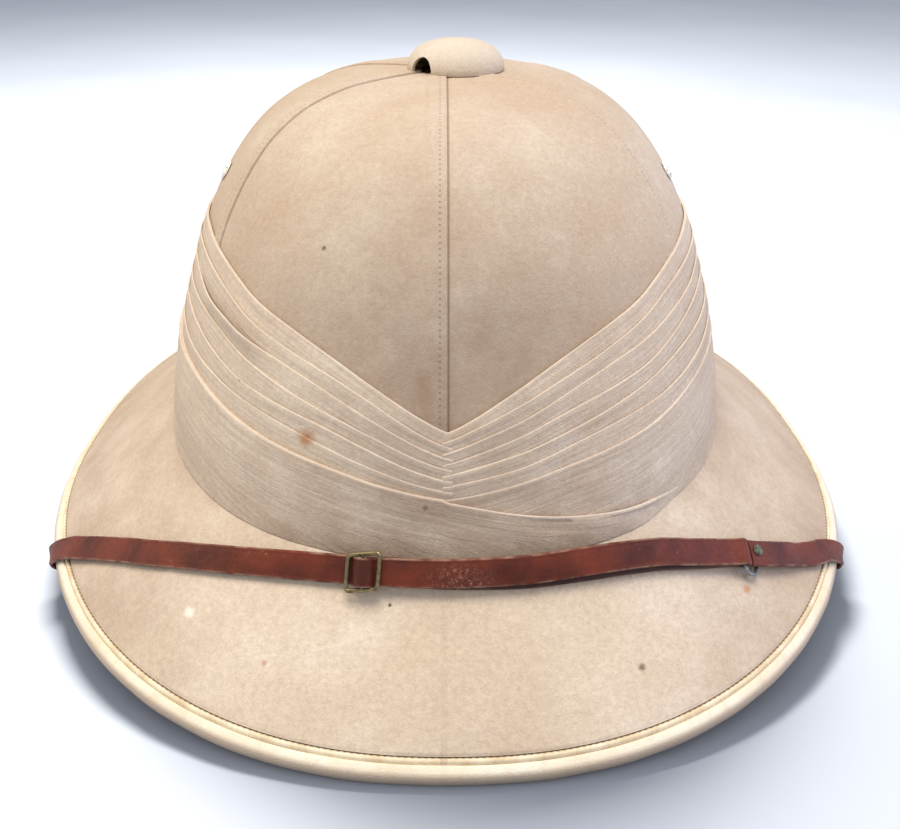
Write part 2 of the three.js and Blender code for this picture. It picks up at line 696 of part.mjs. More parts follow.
function strapFrame(run) {
  let i = 1;
  while (i < strapTrack.length - 1 && run > strapTrack[i].run) {
    i += 1;
  }
  const share = (run - strapTrack[i - 1].run) / (strapTrack[i].run - strapTrack[i - 1].run);
  const along = mix(strapTrack[i - 1].along, strapTrack[i].along, share).normalize();
  const normal = mix(strapTrack[i - 1].normal, strapTrack[i].normal, share).normalize();
  return {
    seat: mix(strapTrack[i - 1].seat, strapTrack[i].seat, share),
    along,
    normal,
    across: normal.clone().cross(along).normalize(),
  };
}

function strapSpot(run, lift, across = 0) {
  const frame = strapFrame(run);
  return frame.seat.clone().addScaledVector(frame.normal, lift).addScaledVector(frame.across, across);
}

// A strap from stations that each give a middle point and the direction across it
function ribbon(stations) {
  const sections = stations.map((station, i) => {
    const before = stations[Math.max(i - 1, 0)].point;
    const after = stations[Math.min(i + 1, stations.length - 1)].point;
    const along = after.clone().sub(before).normalize();
    const across = station.across.clone();
    if (!station.up) {
      across.addScaledVector(along, -across.dot(along)).normalize();
    }
    const up = (station.up ? station.up.clone() : along.cross(across)).multiplyScalar(STRAP_THICK / 2);
    const half = across.multiplyScalar(STRAP_WIDTH / 2);
    const corner = (a, b) => station.point.clone().addScaledVector(half, a).addScaledVector(up, b);
    return { face: [corner(-1, 1), corner(1, 1)], back: [corner(-1, -1), corner(1, -1)] };
  });
  return ladderSolid(sections);
}

// Hidden stretch of one side, from the inside of the crown out to the rim and up on to the brim
function insideWall(azimuth, share, lift) {
  const foot = footCorner(azimuth, SHELL_SINK + PITH_CROWN + lift, SHELL_SINK + PITH_BRIM_ROOT + lift);
  return mix(foot, crownOut(azimuth, INNER_ROWS[0], -SHELL_SINK - PITH_CROWN - lift), share);
}
function hiddenStations(side) {
  const spots = [];
  for (const row of [...STRAP_INSIDE].reverse()) {
    const azimuth = row.azimuth * side;
    const normal = crownNormal(azimuth, 0.08).negate();
    spots.push({ point: insideWall(azimuth, row.share, STRAP_HIDDEN_LIFT), normal });
  }
  for (const row of [...STRAP_UNDER_BRIM].reverse()) {
    const azimuth = row.azimuth * side;
    const lift = STRAP_HIDDEN_LIFT + (row.across > 0.8 ? BINDING_LEATHER + GAP : 0);
    spots.push({ point: brimUnder(azimuth, row.across, lift), normal: brimFrame(azimuth).normal.negate() });
  }
  for (const row of [...STRAP_ROUND_RIM].reverse()) {
    const azimuth = row.azimuth * side;
    const point = rollPoint(azimuth, row.turn, ROLL_OUTER + STRAP_LIFT);
    const frame = brimFrame(azimuth);
    const rimLine = frame.squareOut.clone().cross(frame.normal);
    spots.push({ point, normal: point.clone().sub(frame.roll).normalize(), rimLine });
  }
  const edgeRun = side < 0 ? 1.5 : STRAP_RUN_END - 1.5;
  spots.push({ point: strapSpot(edgeRun, STRAP_LIFT + 0.6), normal: strapFrame(edgeRun).normal });
  return spots.map((spot, i) => {
    const before = spots[Math.max(i - 1, 0)].point;
    const after = spots[Math.min(i + 1, spots.length - 1)].point;
    const across = spot.normal.clone().cross(after.clone().sub(before)).normalize();
    if (!spot.rimLine) {
      return { point: spot.point, across };
    }
    const level = spot.rimLine.multiplyScalar(Math.sign(spot.rimLine.dot(across)));
    const up = across.dot(level) > 0 ? spot.normal : spot.normal.negate();
    return { point: spot.point, across: level, up };
  });
}

// Long strap: left anchor, round the rim, through the buckle, along to the hook and back under itself
const onBrim = (run, lift) => ({ point: strapSpot(run, lift), across: strapFrame(run).across });
const strapStations = hiddenStations(-1);
for (let part = 0; part <= 8; part += 1) {
  const run = 9 + (BUCKLE_RUN - 24) * part / 8;
  strapStations.push(onBrim(run, STRAP_LIFT + (part === 0 ? 0.4 : 0)));
}
for (const row of WEAVE) {
  strapStations.push(onBrim(BUCKLE_RUN + row.along, row.lift));
}
const doubledRun = (share) => BUCKLE_RUN + 7 + (HOOK_RUN - BUCKLE_RUN - 10) * share;
for (const share of DOUBLED_SHARES) {
  strapStations.push(onBrim(doubledRun(share), STRAP_LIFT + STRAP_LAYER));
}
for (const row of HAIRPIN) {
  strapStations.push({
    point: strapSpot(HOOK_RUN + row.along, HOOK_LIFT + row.above),
    across: strapFrame(HOOK_RUN).across,
  });
}
for (const share of [...DOUBLED_SHARES].reverse()) {
  strapStations.push(onBrim(doubledRun(share), STRAP_LIFT));
}
for (const row of TUCKED_END) {
  strapStations.push(onBrim(BUCKLE_RUN + row.along, row.lift));
}
add('chin_strap', ribbon(strapStations), strapLeather);

// Short strap at the right: from its anchor round the rim to the hook
const tabStations = hiddenStations(1);
for (const row of TAB_ON_BRIM) {
  const run = STRAP_RUN_END - (STRAP_RUN_END - HOOK_RUN) * row.back;
  tabStations.push({ point: strapSpot(run, row.lift), across: strapFrame(run).across.negate() });
}
for (const along of TAB_ENDS) {
  tabStations.push({
    point: strapSpot(HOOK_RUN + along, HOOK_LIFT),
    across: strapFrame(HOOK_RUN + along).across.negate(),
  });
}
add('strap_tab', ribbon(tabStations), strapLeather);

// Wire buckle: a rounded oblong frame with a bar across its middle
const buckleFrame = strapFrame(BUCKLE_RUN);
const BUCKLE_OUTLINE = [
  { along: -1, across: -0.7 },
  { along: -1, across: 0.7 },
  { along: -0.7, across: 1 },
  { along: 0.7, across: 1 },
  { along: 1, across: 0.7 },
  { along: 1, across: -0.7 },
  { along: 0.7, across: -1 },
  { along: -0.7, across: -1 },
];
const buckleHalf = { along: (BUCKLE_ALONG - BUCKLE_BAR) / 2, across: (BUCKLE_ACROSS - BUCKLE_BAR) / 2 };
const buckleMid = (BUCKLE_LEFT_LIFT + BUCKLE_RIGHT_LIFT) / 2;
const buckleTilt = (BUCKLE_RIGHT_LIFT - BUCKLE_LEFT_LIFT) / 2;
function bucklePoint(along, across, lift) {
  return buckleFrame.seat.clone()
    .addScaledVector(buckleFrame.along, along)
    .addScaledVector(buckleFrame.across, across)
    .addScaledVector(buckleFrame.normal, lift + buckleMid + buckleTilt * along / buckleHalf.along);
}
const buckleRings = BUCKLE_OUTLINE.map((row) => {
  const out = new THREE.Vector2(Math.sign(row.along), Math.sign(row.across)).normalize();
  if (Math.abs(row.along) === 1) {
    out.y *= 0.4;
  } else {
    out.x *= 0.4;
  }
  out.normalize();
  return Array.from({ length: 6 }, (unused, i) => {
    const turn = radians(i * 60 + 30);
    const side = Math.cos(turn) * BUCKLE_BAR / 2;
    return bucklePoint(
      row.along * buckleHalf.along + out.x * side,
      row.across * buckleHalf.across + out.y * side,
      Math.sin(turn) * BUCKLE_BAR / 2,
    );
  });
});
function crossBarEnd(across) {
  return Array.from({ length: 6 }, (unused, i) => {
    const turn = radians(i * 60 + 30);
    return bucklePoint(Math.cos(turn) * BUCKLE_BAR / 2, across, Math.sin(turn) * BUCKLE_BAR / 2);
  });
}
const crossBar = ringSolid([
  [bucklePoint(0, -buckleHalf.across, 0)],
  crossBarEnd(-buckleHalf.across),
  crossBarEnd(buckleHalf.across),
  [bucklePoint(0, buckleHalf.across, 0)],
], false);
add('strap_buckle', fromManifold(toManifold(ringSolid(buckleRings, true)).add(toManifold(crossBar))), brass);

// Wire hook: a bar through the strap's fold that turns back under the short strap
const hookPath = new THREE.CatmullRomCurve3(
  HOOK_BENDS.map((row) => strapSpot(HOOK_RUN + row.along, row.lift, row.across)),
);
const wireShape = new THREE.Shape(Array.from({ length: 6 }, (unused, i) => new THREE.Vector2(
  Math.cos(radians(i * 60)) * HOOK_WIRE / 2,
  Math.sin(radians(i * 60)) * HOOK_WIRE / 2,
)));
const hookWire = { steps: 12, bevelEnabled: false, extrudePath: hookPath };
add('strap_hook', new THREE.ExtrudeGeometry(wireShape, hookWire), steel);

// A round head set square on a face
function roundHead(name, seat, normal, radius, height, material) {
  const head = new THREE.CylinderGeometry(radius * 0.7, radius, height, 12);
  head.translate(0, height / 2, 0);
  head.applyQuaternion(new THREE.Quaternion().setFromUnitVectors(new THREE.Vector3(0, 1, 0), normal));
  head.translate(seat.x, seat.y, seat.z);
  add(name, head, material);
}
const rivetLift = HOOK_LIFT + STRAP_THICK / 2 + GAP;
const rivetSeat = strapSpot(HOOK_RUN + RIVET_ALONG, rivetLift, RIVET_ACROSS);
const rivetUp = strapFrame(HOOK_RUN + RIVET_ALONG).normal;
roundHead('strap_rivet', rivetSeat, rivetUp, RIVET_RADIUS, RIVET_HEIGHT, steel);

// Studs that hold the two straps inside the crown
for (const side of [1, -1]) {
  const row = STRAP_INSIDE[STRAP_INSIDE.length - 1];
  const azimuth = row.azimuth * side;
  const inward = crownNormal(azimuth, 0.08).negate();
  const seat = insideWall(azimuth, row.share * 0.75, STRAP_HIDDEN_LIFT + STRAP_THICK / 2 + GAP);
  roundHead(side > 0 ? 'anchor_right' : 'anchor_left', seat, inward, STUD_RADIUS, STUD_HEIGHT, steel);
}

export default helmet;
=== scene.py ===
# A cloth-covered pith sun helmet that rests on its own brim: a moulded pith body, six cloth panels, a
# folded cloth band, a leather-bound rim, a vent cap and a leather chin strap worn up over the brim.
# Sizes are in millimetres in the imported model's frame and turn to metres when a mesh is made.
import math

import bmesh
import bpy
import numpy as np
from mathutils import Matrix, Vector, noise


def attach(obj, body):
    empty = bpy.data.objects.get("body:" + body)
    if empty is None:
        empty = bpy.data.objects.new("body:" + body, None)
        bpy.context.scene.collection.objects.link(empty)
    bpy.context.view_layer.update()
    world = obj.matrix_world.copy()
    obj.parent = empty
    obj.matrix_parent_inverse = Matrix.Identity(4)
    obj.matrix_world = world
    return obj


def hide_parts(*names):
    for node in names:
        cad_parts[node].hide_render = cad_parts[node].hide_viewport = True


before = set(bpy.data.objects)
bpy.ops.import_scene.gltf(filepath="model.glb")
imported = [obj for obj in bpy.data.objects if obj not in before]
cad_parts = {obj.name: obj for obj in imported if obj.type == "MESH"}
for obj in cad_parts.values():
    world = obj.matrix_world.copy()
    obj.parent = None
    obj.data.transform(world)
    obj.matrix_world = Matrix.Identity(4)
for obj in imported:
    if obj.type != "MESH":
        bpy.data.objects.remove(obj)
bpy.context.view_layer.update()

# CAMERA. It stands in front of the helmet and looks down on it by 26.7 degrees, 418 mm from the point
# it looks at, as the photographer did. The lens gives 1101.6 pixels a radian across 900.
CAMERA_AT = (-1.82, -402.96, 222.55)
CAMERA_LOOKS_AT = (-1.82, -29.35, 34.87)

lens = bpy.data.cameras.new("camera")
lens.sensor_width = 36
lens.lens = 44.06
lens.shift_x = 0.01
lens.clip_start = 0.01
camera = bpy.data.objects.new("camera", lens)
camera.location = Vector(CAMERA_AT) / 1000
sight = Vector(CAMERA_LOOKS_AT) - Vector(CAMERA_AT)
camera.rotation_euler = sight.to_track_quat("-Z", "Y").to_euler()
bpy.context.scene.collection.objects.link(camera)
bpy.context.scene.camera = camera

# PITH BODY. Sheets of sola pith glued in layers over a block: the crown and the brim are one piece,
# 6.4 mm thick in the crown and thinner towards the rim. It shows only from below.
RIM_HALF_WIDTH = 141
RIM_FRONT = 157
RIM_BACK = 211
RIM_WIDEST_Y = -27
RIM_SQUARE_FRONT = 2.24
RIM_SQUARE_BACK = 2.18
RIM_END_HEIGHT = 2.7
RIM_SIDE_HEIGHT = 17
FOOT_HALF_WIDTH = 92.6
FOOT_HALF_LENGTH = 107.8
FOOT_Y = -35.4
FOOT_SIDE_HEIGHT = 56.5
FOOT_END_DROP = 6.1
FOOT_SQUARE = 2.35
CROWN_HEIGHT = 104.5
CROWN_TOP_Y = -24
# azimuth is 0 at the front and 90 at the right; climb is 0 at the crown's foot and 1 at its top
# climb from foot to top, spread as a share of the foot, rise as a share of the height
CROWN_PROFILE = (
    (0, 1, 0), (0.1, 0.983, 0.158), (0.2, 0.95, 0.314), (0.3, 0.903, 0.466), (0.4, 0.852, 0.612),
    (0.5, 0.77, 0.749), (0.6, 0.656, 0.868), (0.7, 0.507, 0.948), (0.8, 0.34, 0.986),
    (0.94, 0.103, 0.999), (1, 0, 1),
)
GAP = 0.3
CLOTH = 0.8
SKIN = CLOTH + GAP
PITH_TOP = SKIN + 0.2
PITH_CROWN = 6.4
PITH_ROOT = 5
PITH_EDGE = 3.4
BINDING_LEATHER = 1.2
ROLL_INNER = PITH_EDGE / 2 + GAP
ROLL_OUTER = ROLL_INNER + BINDING_LEATHER


def hermite(t, step, start, end, start_slope, end_slope):
    """A cubic from start to end, t of the way along a step, that leaves and arrives with those slopes."""
    return ((2 * t**3 - 3 * t**2 + 1) * start + (3 * t**2 - 2 * t**3) * end
            + step * ((t**3 - 2 * t**2 + t) * start_slope + (t**3 - t**2) * end_slope))


def curve(table, column):
    """A smooth curve from a table's first column to another one that doesn't swing past its points."""
    xs, ys = np.array([(row[0], row[column]) for row in table], float).T
    step = np.diff(xs)
    rise = np.diff(ys) / step
    slope = np.zeros(len(xs))
    slope[0], slope[-1] = rise[0], rise[-1]
    same_way = rise[1:] * rise[:-1] > 0
    with np.errstate(divide="ignore", invalid="ignore"):
        before, after = 2 * step[1:] + step[:-1], step[1:] + 2 * step[:-1]
        mean = (before + after) / (before / rise[:-1] + after / rise[1:])
    slope[1:-1] = np.where(same_way, mean, 0)

    def at(x):
        x = np.clip(np.asarray(x, float), xs[0], xs[-1])
        i = np.clip(np.searchsorted(xs, x) - 1, 0, len(step) - 1)
        return hermite((x - xs[i]) / step[i], step[i], ys[i], ys[i + 1], slope[i], slope[i + 1])

    return at


crown_spread = curve(CROWN_PROFILE, 1)
crown_rise = curve(CROWN_PROFILE, 2)


def signed_power(value, exponent):
    return np.sign(value) * np.abs(value) ** exponent


def unit(vectors):
    return vectors / np.maximum(np.linalg.norm(vectors, axis=-1, keepdims=True), 1e-9)


def smooth(share):
    share = np.clip(share, 0, 1)
    return share * share * (3 - 2 * share)


def crown_point(azimuth, climb):
    azimuth, climb = np.broadcast_arrays(np.asarray(azimuth, float), np.asarray(climb, float))
    side, ahead = np.sin(np.radians(azimuth)), np.cos(np.radians(azimuth))
    spread, rise = crown_spread(climb), crown_rise(climb)
    square = FOOT_SQUARE * (1 - rise) + 2 * rise
    return np.stack([
        FOOT_HALF_WIDTH * spread * signed_power(side, 2 / square),
        FOOT_Y + (CROWN_TOP_Y - FOOT_Y) * rise
        - FOOT_HALF_LENGTH * spread * signed_power(ahead, 2 / square),
        FOOT_SIDE_HEIGHT - FOOT_END_DROP * ahead**2 * (1 - rise) + CROWN_HEIGHT * rise,
    ], -1)


def crown_normal(azimuth, climb):
    climb = np.minimum(np.asarray(climb, float), 0.97)
    round_it = crown_point(np.asarray(azimuth) + 1, climb) - crown_point(np.asarray(azimuth) - 1, climb)
    upward = crown_point(azimuth, climb + 0.01) - crown_point(azimuth, np.maximum(climb - 0.01, 0))
    return unit(np.cross(round_it, upward))


def crown_out(azimuth, climb, out):
    return crown_point(azimuth, climb) + crown_normal(azimuth, climb) * np.asarray(out)[..., None]


def rim_point(azimuth):
    azimuth = np.asarray(azimuth, float)
    side, ahead = np.sin(np.radians(azimuth)), np.cos(np.radians(azimuth))
    square = np.where(ahead > 0, RIM_SQUARE_FRONT, RIM_SQUARE_BACK)
    reach = np.where(ahead > 0, -RIM_FRONT, RIM_BACK)
    return np.stack([
        RIM_HALF_WIDTH * signed_power(side, 2 / square),
        RIM_WIDEST_Y + reach * np.abs(ahead) ** (2 / square),
        RIM_END_HEIGHT + (RIM_SIDE_HEIGHT - RIM_END_HEIGHT) * side**2,
    ], -1)


def brim_frame(azimuth):
    """The brim on a meridian: crown foot, edge of its top, roll centre, normal and the way out."""
    azimuth = np.asarray(azimuth, float)
    foot, rim = crown_point(azimuth, 0), rim_point(azimuth)
    along = unit(rim_point(azimuth + 1) - rim_point(azimuth - 1))
    normal = unit(np.cross(unit(rim - foot), along))
    normal = normal * np.sign(normal[..., 2:])
    outward = unit(np.cross(along, normal))
    outward = outward * np.sign(np.sum(outward * (rim - foot), -1, keepdims=True))
    level = unit(outward * (1, 1, 0))
    roll = rim - level * ROLL_OUTER
    return foot, roll + normal * (PITH_EDGE / 2 + SKIN), roll, normal, outward


def brim_top(azimuth, across, out):
    foot, edge, _, normal, _ = brim_frame(azimuth)
    return foot + (edge - foot) * np.asarray(across)[..., None] + normal * np.asarray(out)[..., None]


def brim_length(azimuth):
    foot, edge, _, _, _ = brim_frame(azimuth)
    return np.linalg.norm(edge - foot, axis=-1)


def brim_under(azimuth, across, out):
    thick = PITH_ROOT + (PITH_EDGE - PITH_ROOT) * np.asarray(across)
    return brim_top(azimuth, across, -SKIN - thick - out)


def roll_point(azimuth, turn, radius):
    """On a circle round the centre of the rolled edge; turn 90 is straight off the brim's top."""
    _, _, roll, normal, outward = brim_frame(azimuth)
    turn = np.radians(turn)
    return roll + outward * radius * np.cos(turn) + normal * radius * np.sin(turn)


def foot_corner(azimuth, crown_depth, brim_depth):
    """The corner between crown and brim, set in from both faces."""
    wall, floor = crown_normal(azimuth, 0), brim_frame(azimuth)[3]
    cosine = np.sum(wall * floor, -1, keepdims=True)
    scale = 1 - cosine**2
    in_wall = (crown_depth - brim_depth * cosine) / scale
    in_floor = (brim_depth - crown_depth * cosine) / scale
    return crown_point(azimuth, 0) - wall * in_wall - floor * in_floor


def run_along(line):
    """How far along a line of points each one lies."""
    return np.concatenate([[0], np.cumsum(np.linalg.norm(np.diff(line, axis=0), axis=1))])


def wobble(points, size, height):
    """Hand-made unevenness: a height for each point from noise of that size in millimetres."""
    flat = points.reshape(-1, 3)
    made = [noise.noise(Vector(point) / size) for point in flat]
    return np.array(made).reshape(points.shape[:-1]) * height


def make_piece(name, points, faces, material, stands_for, facts=None, sharp=50):
    """A piece of the helmet from points in millimetres; edges sharper than so many degrees stay crisp."""
    mesh = bpy.data.meshes.new(name)
    mesh.from_pydata((points.reshape(-1, 3) / 1000).tolist(), [], faces)
    for key, values in (facts or {}).items():
        kind = "FLOAT_VECTOR" if values.ndim == 3 else "FLOAT"
        layer = mesh.attributes.new(key, kind, "POINT")
        layer.data.foreach_set("vector" if values.ndim == 3 else "value", values.astype(np.float32).ravel())
    body = bmesh.new()
    body.from_mesh(mesh)
    bmesh.ops.remove_doubles(body, verts=body.verts, dist=2e-6)
    bmesh.ops.dissolve_degenerate(body, edges=body.edges, dist=1e-7)
    bmesh.ops.recalc_face_normals(body, faces=body.faces)
    body.to_mesh(mesh)
    body.free()
    mesh.shade_smooth()
    mesh.set_sharp_from_angle(angle=math.radians(sharp))
    mesh.materials.append(material)
    piece = bpy.data.objects.new(name, mesh)
    bpy.context.scene.collection.objects.link(piece)
    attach(piece, "root")
    if stands_for:
        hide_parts(*stands_for)
    return piece


def loft(name, rings, material, stands_for=(), wrap=False, facts=None, sharp=38):
    """A closed skin over rings of points, one after another; with wrap the last joins the first.
    A ring's points go out along one face and back along the other. facts are named per-point values."""
    count, width = rings.shape[:2]
    index = np.arange(count * width).reshape(count, width)
    turned = np.vstack([index, index[:1]]) if wrap else index
    here, there = turned[:-1], turned[1:]
    quads = np.stack([here, np.roll(here, -1, 1), np.roll(there, -1, 1), there], -1).reshape(-1, 4)
    faces = quads.tolist()
    if not wrap:
        for end in (index[0], index[-1]):
            for i in range(width // 2 - 1):
                faces.append([int(end[i]), int(end[i + 1]), int(end[-2 - i]), int(end[-1 - i])])
    return make_piece(name, rings, faces, material, stands_for, facts, sharp)


def linear(code):
    """A colour written as sRGB hex, as the linear colour that the shader takes."""
    parts = [int(code[i:i + 2], 16) / 255 for i in (1, 3, 5)]
    return tuple(p / 12.92 if p <= 0.04045 else ((p + 0.055) / 1.055) ** 2.4 for p in parts) + (1,)


def feed(tree, made, sockets):
    """Sets or links each named or numbered input of a node."""
    for key, value in sockets.items():
        if isinstance(value, bpy.types.NodeSocket):
            tree.links.new(value, made.inputs[key])
        else:
            made.inputs[key].default_value = value


def node(tree, kind, sockets=None, **settings):
    """Adds a node with its settings and feeds its inputs."""
    made = tree.nodes.new(kind)
    for key, value in settings.items():
        setattr(made, key, value)
    feed(tree, made, sockets or {})
    return made


def new_material(name):
    """An empty material with its shader and its place in millimetres."""
    material = bpy.data.materials.new(name)
    material.use_nodes = True
    tree = material.node_tree
    place = node(tree, "ShaderNodeTexCoord").outputs["Object"]
    place = node(tree, "ShaderNodeVectorMath", {0: place, "Scale": 1000}, operation="SCALE").outputs[0]
    return material, tree, tree.nodes["Principled BSDF"], place


def pattern(tree, place, size, low, high, detail=3, rough=0.55, twist=0.0):
    """Cloudy noise of that size in millimetres, spread to 0 at low and 1 at high."""
    made = node(tree, "ShaderNodeTexNoise", {
        "Vector": place, "Scale": 1 / size, "Detail": detail, "Roughness": rough, "Distortion": twist,
    })
    return node(tree, "ShaderNodeMapRange", {0: made.outputs[0], 1: low, 2: high}).outputs[0]


def over(tree, colour, code, share, strength=1):
    """A colour with another laid over it where share is 1, as strongly as strength says."""
    share = node(tree, "ShaderNodeMath", {0: share, 1: strength}, operation="MULTIPLY").outputs[0]
    return node(tree, "ShaderNodeMix", {0: share, 6: colour, 7: linear(code)}, data_type="RGBA").outputs[2]


# Sola pith, cut in thin layers and glued: matt, straw-coloured, with soft fibres that run round it
pith, tree, shader, place = new_material("sola_pith")
fibres = pattern(tree, place, 1.6, 0.35, 0.65, twist=1.5)
clouds = pattern(tree, place, 26, 0.35, 0.7)
straw = over(tree, linear("#cdb791"), "#b79f78", fibres)
straw = node(tree, "ShaderNodeMix", {0: clouds, 6: straw, 7: linear("#a98f68")}, data_type="RGBA",
             blend_type="MULTIPLY").outputs[2]
bump = node(tree, "ShaderNodeBump", {"Strength": 0.5, "Distance": 0.0004, "Height": fibres}).outputs[0]
feed(tree, shader, {"Base Color": over(tree, straw, "#c4ab84", 0.5), "Roughness": 0.95, "Normal": bump})

PITH_COLUMNS = 240
azimuths = np.arange(PITH_COLUMNS) * 360 / PITH_COLUMNS
pith_rows = [crown_out(azimuths, np.full(PITH_COLUMNS, c), np.full(PITH_COLUMNS, -PITH_TOP))
             for c in np.linspace(0.999, 0.03, 40)]
pith_rows += [foot_corner(azimuths, PITH_TOP, PITH_TOP)]
pith_rows += [brim_top(azimuths, np.full(PITH_COLUMNS, c), np.full(PITH_COLUMNS, -PITH_TOP))
              for c in np.linspace(0.15, 1, 10)]
pith_rows += [roll_point(azimuths, turn, PITH_EDGE / 2) for turn in (60, 0, -60)]
pith_rows += [brim_under(azimuths, np.full(PITH_COLUMNS, c), 0) for c in np.linspace(1, 0.15, 10)]
pith_rows += [foot_corner(azimuths, SKIN + PITH_CROWN, SKIN + PITH_ROOT)]
pith_rows += [crown_out(azimuths, np.full(PITH_COLUMNS, c), np.full(PITH_COLUMNS, -SKIN - PITH_CROWN))
              for c in np.linspace(0.08, 0.92, 24)]
pith_rows += [np.tile(crown_point(0, 1) - (0, 0, SKIN + PITH_CROWN), (PITH_COLUMNS, 1))]
pith_rows[0] = np.tile(crown_point(0, 1) - (0, 0, PITH_TOP), (PITH_COLUMNS, 1))
# the rows run from the top of the crown, over the rim and back up inside; the first and last are points
outline = np.stack(pith_rows, 0)


def skin(name, rows, material, stands_for):
    """A closed skin from rows of points that each go all the way round, from a pole to a pole."""
    count, width = rows.shape[:2]
    index = np.arange(count * width).reshape(count, width)
    wide = np.hstack([index, index[:, :1]])
    faces = np.stack([wide[:-1, :-1], wide[:-1, 1:], wide[1:, 1:], wide[1:, :-1]], -1).reshape(-1, 4)
    return make_piece(name, rows, faces.tolist(), material, stands_for)


skin("pith_shell", outline, pith, ["pith_body"])

# CROWN COVER. Six panels of brushed cotton drill, glued to the pith. Each panel's edge is folded under
# and stitched over its neighbour, so a seam is a low step with a row of stitches beside it.
PANELS = 6
LAP_WIDTH = 6.2
LAP_HEIGHT = 0.5
STITCH_FROM_EDGE = 2.1
STITCH_PITCH = 1.7
THREAD_SHOWN = 0.9
COVER_TOP = 0.94


